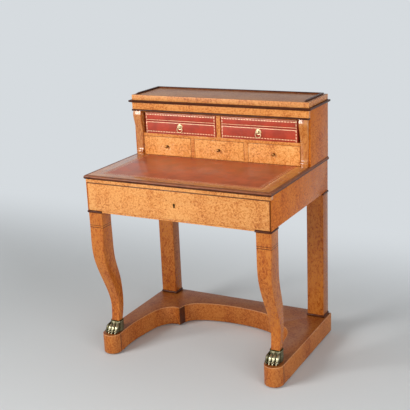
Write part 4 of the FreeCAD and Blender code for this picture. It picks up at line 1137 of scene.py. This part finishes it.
class DESK_OT_frieze(DeskOperator):
    """Make the frieze, its bead, the cornice and the top block"""

    bl_idname = "desk.frieze"
    bl_label = "Frieze and cornice"

    def make(self):
        board_piece("frieze_board", "veneer_case")
        board_piece("top_block", "veneer_top_block", share=1.5)
        self.bead()
        self.cornice()

    def bead(self):
        """A half-round strip whose flat rear side goes back to the case."""
        low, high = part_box("frieze_bead")
        radius = (high.z - low.z) / 2
        turn = np.linspace(-QUARTER_TURN, QUARTER_TURN, 11)
        depth = np.concatenate([[high.y], low.y + radius * (1 - np.cos(turn)), [high.y]])
        height = np.concatenate([[low.z], low.z + radius + radius * np.sin(turn), [high.z]])
        rings = stacked(np.array([[low.x], [high.x]]), depth, height)
        add_piece("half_round_bead", [skin(rings)], "dark_moulding_wood", "frieze_bead")

    def cornice(self):
        """A step, a hollow quarter round and an upright face, mitred round three sides."""
        low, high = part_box("cornice")
        tall, out = high.z - low.z, high.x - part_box("case_side_right")[1].x
        width = out + CORNICE_REST
        turn = np.linspace(0, QUARTER_TURN, 9)
        hollow_out, step_up, hollow_up = 0.75, 0.12, 0.4
        hollow = np.column_stack([width + hollow_out * out * (np.sin(turn) - 1),
                                  low.z + tall * (step_up + hollow_up * (1 - np.cos(turn)))])
        profile = [(0, low.z), (width - hollow_out * out, low.z), *hollow, (width, high.z - CORNICE_CHAMFER),
                   (width - CORNICE_CHAMFER, high.z), (0, high.z)]
        add_piece("cornice_mitred", [mitred(profile, three_sides(low, high, width))], "dark_moulding_wood",
                  "cornice")


class DESK_OT_gallery(DeskOperator):
    """Make the low gallery on top, whose side strips start in a slope"""

    bl_idname = "desk.gallery"
    bl_label = "Gallery"

    def make(self):
        low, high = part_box("gallery")
        inner_left, inner_right, toe = low.x + GALLERY_WIDTH, high.x - GALLERY_WIDTH, low.z + GALLERY_TOE
        rear = eased_board((inner_left, high.y - GALLERY_WIDTH, low.z), (inner_right, high.y, high.z),
                           GALLERY_EASE)
        # painted light: the rear strip's faces below its top get a high wear value, so they are drawn paler
        # than its top
        patches, wear = [rear], [np.where(rear[0][:, 2] < high.z - GALLERY_EASE, 0.9, 0.0)]
        stations, tops = np.array([
            (low.y, low.z + GALLERY_TOE * 0.7), (low.y + 0.0008, toe),
            (low.y + GALLERY_SLOPE * 0.5, (toe + high.z) / 2), (low.y + GALLERY_SLOPE, high.z - 0.0004),
            (low.y + GALLERY_SLOPE + 0.002, high.z), (high.y - 0.001, high.z), (high.y, high.z - 0.0006),
        ]).T
        ease = np.minimum(GALLERY_EASE, 0.45 * (tops - low.z))
        for left, right in ((low.x, low.x + GALLERY_WIDTH), (inner_right, inner_right + GALLERY_WIDTH)):
            x, z = eased_ring(left, right, low.z, tops, ease, steps=3)
            patches.append(skin(stacked(x, stations[:, None], z)))
            wear.append(np.zeros(x.size))
        add_piece("gallery_strips", patches, "dark_moulding_wood", "gallery", wear=np.concatenate(wear))


class DESK_OT_consoles(DeskOperator):
    """Make the scrolled consoles with their volutes"""

    bl_idname = "desk.consoles"
    bl_label = "Consoles"

    def make(self):
        rise = np.linspace(0, 1, 90)
        half = CONSOLE_HALF_FOOT + (CONSOLE_HALF_HEAD - CONSOLE_HALF_FOOT) * rise
        thinnest, fullest = 0.15, 0.995
        share = smooth_through(*CONSOLE_DEPTH, rise).clip(thinnest, fullest)
        for hand in HANDS:
            low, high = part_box("console_" + hand)
            middle = (low.x + high.x) / 2
            x, y = eased_ring(middle - half, middle + half, high.y - (high.y - low.y) * share, high.y,
                              CONSOLE_EASE, steps=3)
            z = low.z + (high.z - low.z) * rise[:, None]
            add_piece(f"scrolled_console_{hand}", [skin(stacked(x, y, z))], "veneer_console",
                      "console_" + hand, sharp=50)


class DESK_OT_small_drawers(DeskOperator):
    """Make the three small drawers and their turned knobs"""

    bl_idname = "desk.small_drawers"
    bl_label = "Small drawers"

    def make(self):
        for hand in ("left", "middle", "right"):
            board_piece(f"{hand}_drawer_front", "veneer_small_fronts")
            dress_node(f"{hand}_drawer_box", "lining_wood")
            low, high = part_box(f"{hand}_drawer_knob")
            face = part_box(f"{hand}_drawer_front")[0].y
            reach = face - low.y
            profile = np.array([*KNOB, (0.0, reach)])
            centre = ((low.x + high.x) / 2, face, (low.z + high.z) / 2)
            wear = np.repeat((profile[:, 1] / reach).clip(0.1, 1), settings_of("shape").around)
            add_piece(f"{hand}_turned_knob", [turned(profile, centre, FORWARD)], "knob_bronze",
                      f"{hand}_drawer_knob", wear=wear)


class DESK_OT_leather_boxes(DeskOperator):
    """Make the two leather boxes with their flaps and ring pulls"""

    bl_idname = "desk.leather_boxes"
    bl_label = "Leather boxes"

    def make(self):
        ease = settings_of("shape").leather_ease
        for hand in HANDS:
            leather = f"{hand}_box_leather"
            eased_node(f"{hand}_carton_tray", leather, ease, share=0.6)
            eased_node(f"{hand}_carton_lid", leather, ease, share=0.8)
            board_piece(f"{hand}_carton_flap", leather, ease)
            self.rosette(hand)
            self.ring(hand)

    def rosette(self, hand):
        """A plate with a beaded rim and a petalled dome, and a bored ear for the ring."""
        node = f"{hand}_carton_rosette"
        low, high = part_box(node)
        ring_low, ring_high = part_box(f"{hand}_carton_ring")
        x, z = (low.x + high.x) / 2, (low.z + high.z) / 2
        pivot = (ring_low.y + ring_high.y) / 2
        around, ear_around, flat, ear_wear = 48, 20, 0.97, 0.75
        turn = angles(ear_around)
        radius, reach = EAR.T[:, :, None]
        ear = stacked(x + reach, pivot + radius * np.cos(turn) * flat, z + radius * np.sin(turn))
        patches = [turned(PLATE, (x, high.y, z), FORWARD, around),
                   turned(DOME, (x, high.y, z), FORWARD, around, flutes=12, flute_depth=0.06),
                   skin(ear, lids=(False, False))]
        wear = np.concatenate([np.repeat(PLATE_WEAR + DOME_WEAR, around),
                               np.full(len(EAR) * ear_around, ear_wear)])
        add_piece(f"{hand}_petal_rosette", patches, "pull_brass", node, wear=wear)

    def ring(self, hand):
        """A torus whose wire is a little fuller at the foot."""
        node = f"{hand}_carton_ring"
        low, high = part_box(node)
        centre = (low + high) / 2
        thick = (high.y - low.y) / 2
        big = (high.z - low.z) / 2 - thick
        round_ring = np.linspace(0, FULL_TURN, 57)[:, None]
        round_wire = angles(14)
        fuller = 0.06
        wire = thick * (1 - fuller - fuller * np.sin(round_ring))
        out = big + wire * np.cos(round_wire)
        rings = stacked(centre.x + out * np.cos(round_ring), centre.y + wire * np.sin(round_wire),
                        centre.z + out * np.sin(round_ring))
        wear = np.broadcast_to(0.75 + 0.25 * np.cos(round_wire), out.shape)
        add_piece(f"{hand}_pull_ring", [skin(rings, lids=(False, False))], "pull_brass", node, wear=wear,
                  sharp=80)


class DESK_OT_stage(DeskOperator):
    """Set the camera, the lamps, the pale floor and the backdrop"""

    bl_idname = "desk.stage"
    bl_label = "Stage"

    def make(self):
        stage = settings_of("stage")
        self.camera(stage)
        for name, lamp in LAMPS.items():
            self.lamp(f"{name}_lamp", watts=getattr(stage, f"{name}_watts"), **lamp)
        self.floor(stage)
        world = bpy.data.worlds.new("studio_air")
        world.use_nodes = True
        background = world.node_tree.nodes["Background"]
        background.inputs["Color"].default_value = AIR_TINT
        background.inputs["Strength"].default_value = stage.ambient
        bpy.context.scene.world = world
        bpy.context.scene.view_settings.view_transform = "Standard"

    def camera(self, stage):
        """The photo's view: rolled about the line of sight, tilted, then turned to the left."""
        turn = (Matrix.Rotation(stage.camera_yaw, 4, "Z")
                @ Matrix.Rotation(QUARTER_TURN + stage.camera_pitch, 4, "X")
                @ Matrix.Rotation(stage.camera_roll, 4, "Z"))
        data = bpy.data.cameras.new("photo_camera")
        data.lens = stage.lens
        data.sensor_width = SENSOR_WIDTH
        data.sensor_fit = "HORIZONTAL"
        data.shift_x, data.shift_y = stage.shift
        data.clip_end = SIGHT_LIMIT
        camera = placed("photo_camera", data)
        camera.matrix_world = Matrix.Translation(stage.camera_place) @ turn
        bpy.context.scene.camera = camera

    def lamp(self, name, place, aim, size, watts):
        """A square lamp that looks from its place to its aim."""
        data = bpy.data.lights.new(name, "AREA")
        data.shape = "SQUARE"
        data.size = size
        data.energy = watts
        sight = (Vector(aim) - Vector(place)).to_track_quat("-Z", "Y")
        placed(name, data).matrix_world = Matrix.Translation(place) @ sight.to_matrix().to_4x4()

    def floor(self, stage):
        """A round floor that turns up into a wall: flat, then a quarter circle, then upright."""
        arc = np.linspace(0, QUARTER_TURN, 24)
        bend = np.column_stack([FLOOR_REACH + FLOOR_BEND * np.sin(arc), FLOOR_BEND * (1 - np.cos(arc))])
        profile = [(0, 0), (FLOOR_REACH / 2, 0), *bend, (FLOOR_REACH + FLOOR_BEND, WALL_HEIGHT)]
        points, faces = turned(profile, (0, 0, 0), UPWARD, around=96)
        mesh = bpy.data.meshes.new("studio_floor")
        mesh.from_pydata(points.tolist(), [], faces[:-2])
        mesh.shade_smooth()
        mesh.materials.append(self.paper(stage))
        placed("studio_floor", mesh)

    def paper(self, stage):
        """Pale paper that catches shadows near the desk, with painted shade that darkens it towards the
        left, and glows evenly far off.
        """
        finish = Finish("studio_paper", roughness=0.9, specular_ior_level=0.1)
        across, deep, _ = finish.spot()
        away = (across * across + deep * deep) ** 0.5
        # painted shade: the floor colour is darker towards the left
        finish.shine(base_color=finish.mix(across.fade(start=-1.3, end=0.9), shaded(stage.floor, 0.84),
                                           shaded(stage.floor, 1.06)))
        glow = finish.node("Emission", {"Color": stage.backdrop, "Strength": 1}, "Emission")
        camera, gloss, through = finish.outputs(
            "LightPath", ("Is Camera Ray", "Is Glossy Ray", "Is Transmission Ray"))
        seen = camera.at_least(gloss).at_least(through)
        far = away.fade(start=0.9, end=3.4).at_least(deep.fade(start=0.13, end=1.65)) * seen
        mixed = finish.node("MixShader", {0: far, 1: Value(finish, finish.shader.outputs[0]), 2: glow})
        finish.tree.links.new(mixed.socket, finish.tree.nodes["Material Output"].inputs["Surface"])
        return finish.material


MAKERS = (
    DESK_OT_stage, DESK_OT_plinth, DESK_OT_posts, DESK_OT_leg_mouldings, DESK_OT_front_legs, DESK_OT_paws,
    DESK_OT_apron, DESK_OT_main_drawer, DESK_OT_writing_board, DESK_OT_case, DESK_OT_frieze,
    DESK_OT_gallery, DESK_OT_consoles, DESK_OT_small_drawers, DESK_OT_leather_boxes,
)


class DESK_PT_panel(bpy.types.Panel):
    """Lists the desk's pieces in the sidebar"""

    bl_idname = "DESK_PT_panel"
    bl_label = "Writing desk"
    bl_space_type = "VIEW_3D"
    bl_region_type = "UI"
    bl_category = "Desk"

    def draw(self, context):
        for maker in MAKERS:
            self.layout.operator(maker.bl_idname)
        for group in GROUPS:
            box = self.layout.box()
            for name in GROUPS[group].__annotations__:
                box.prop(settings_of(group), name)


GROUPS = {"finish": DeskFinishSettings, "shape": DeskShapeSettings, "stage": DeskStageSettings}
CLASSES = (*GROUPS.values(), *MAKERS, DESK_PT_panel)


def register():
    for some in CLASSES:
        bpy.utils.register_class(some)
    for name, group in GROUPS.items():
        setattr(bpy.types.Scene, "desk_" + name, PointerProperty(type=group))


def unregister():
    for name in GROUPS:
        delattr(bpy.types.Scene, "desk_" + name)
    for some in reversed(CLASSES):
        bpy.utils.unregister_class(some)


def main():
    """Register the add-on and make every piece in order."""
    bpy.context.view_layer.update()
    register()
    for maker in MAKERS:
        group, name = maker.bl_idname.split(".")
        getattr(getattr(bpy.ops, group), name)()


if __name__ == "__main__":
    main()
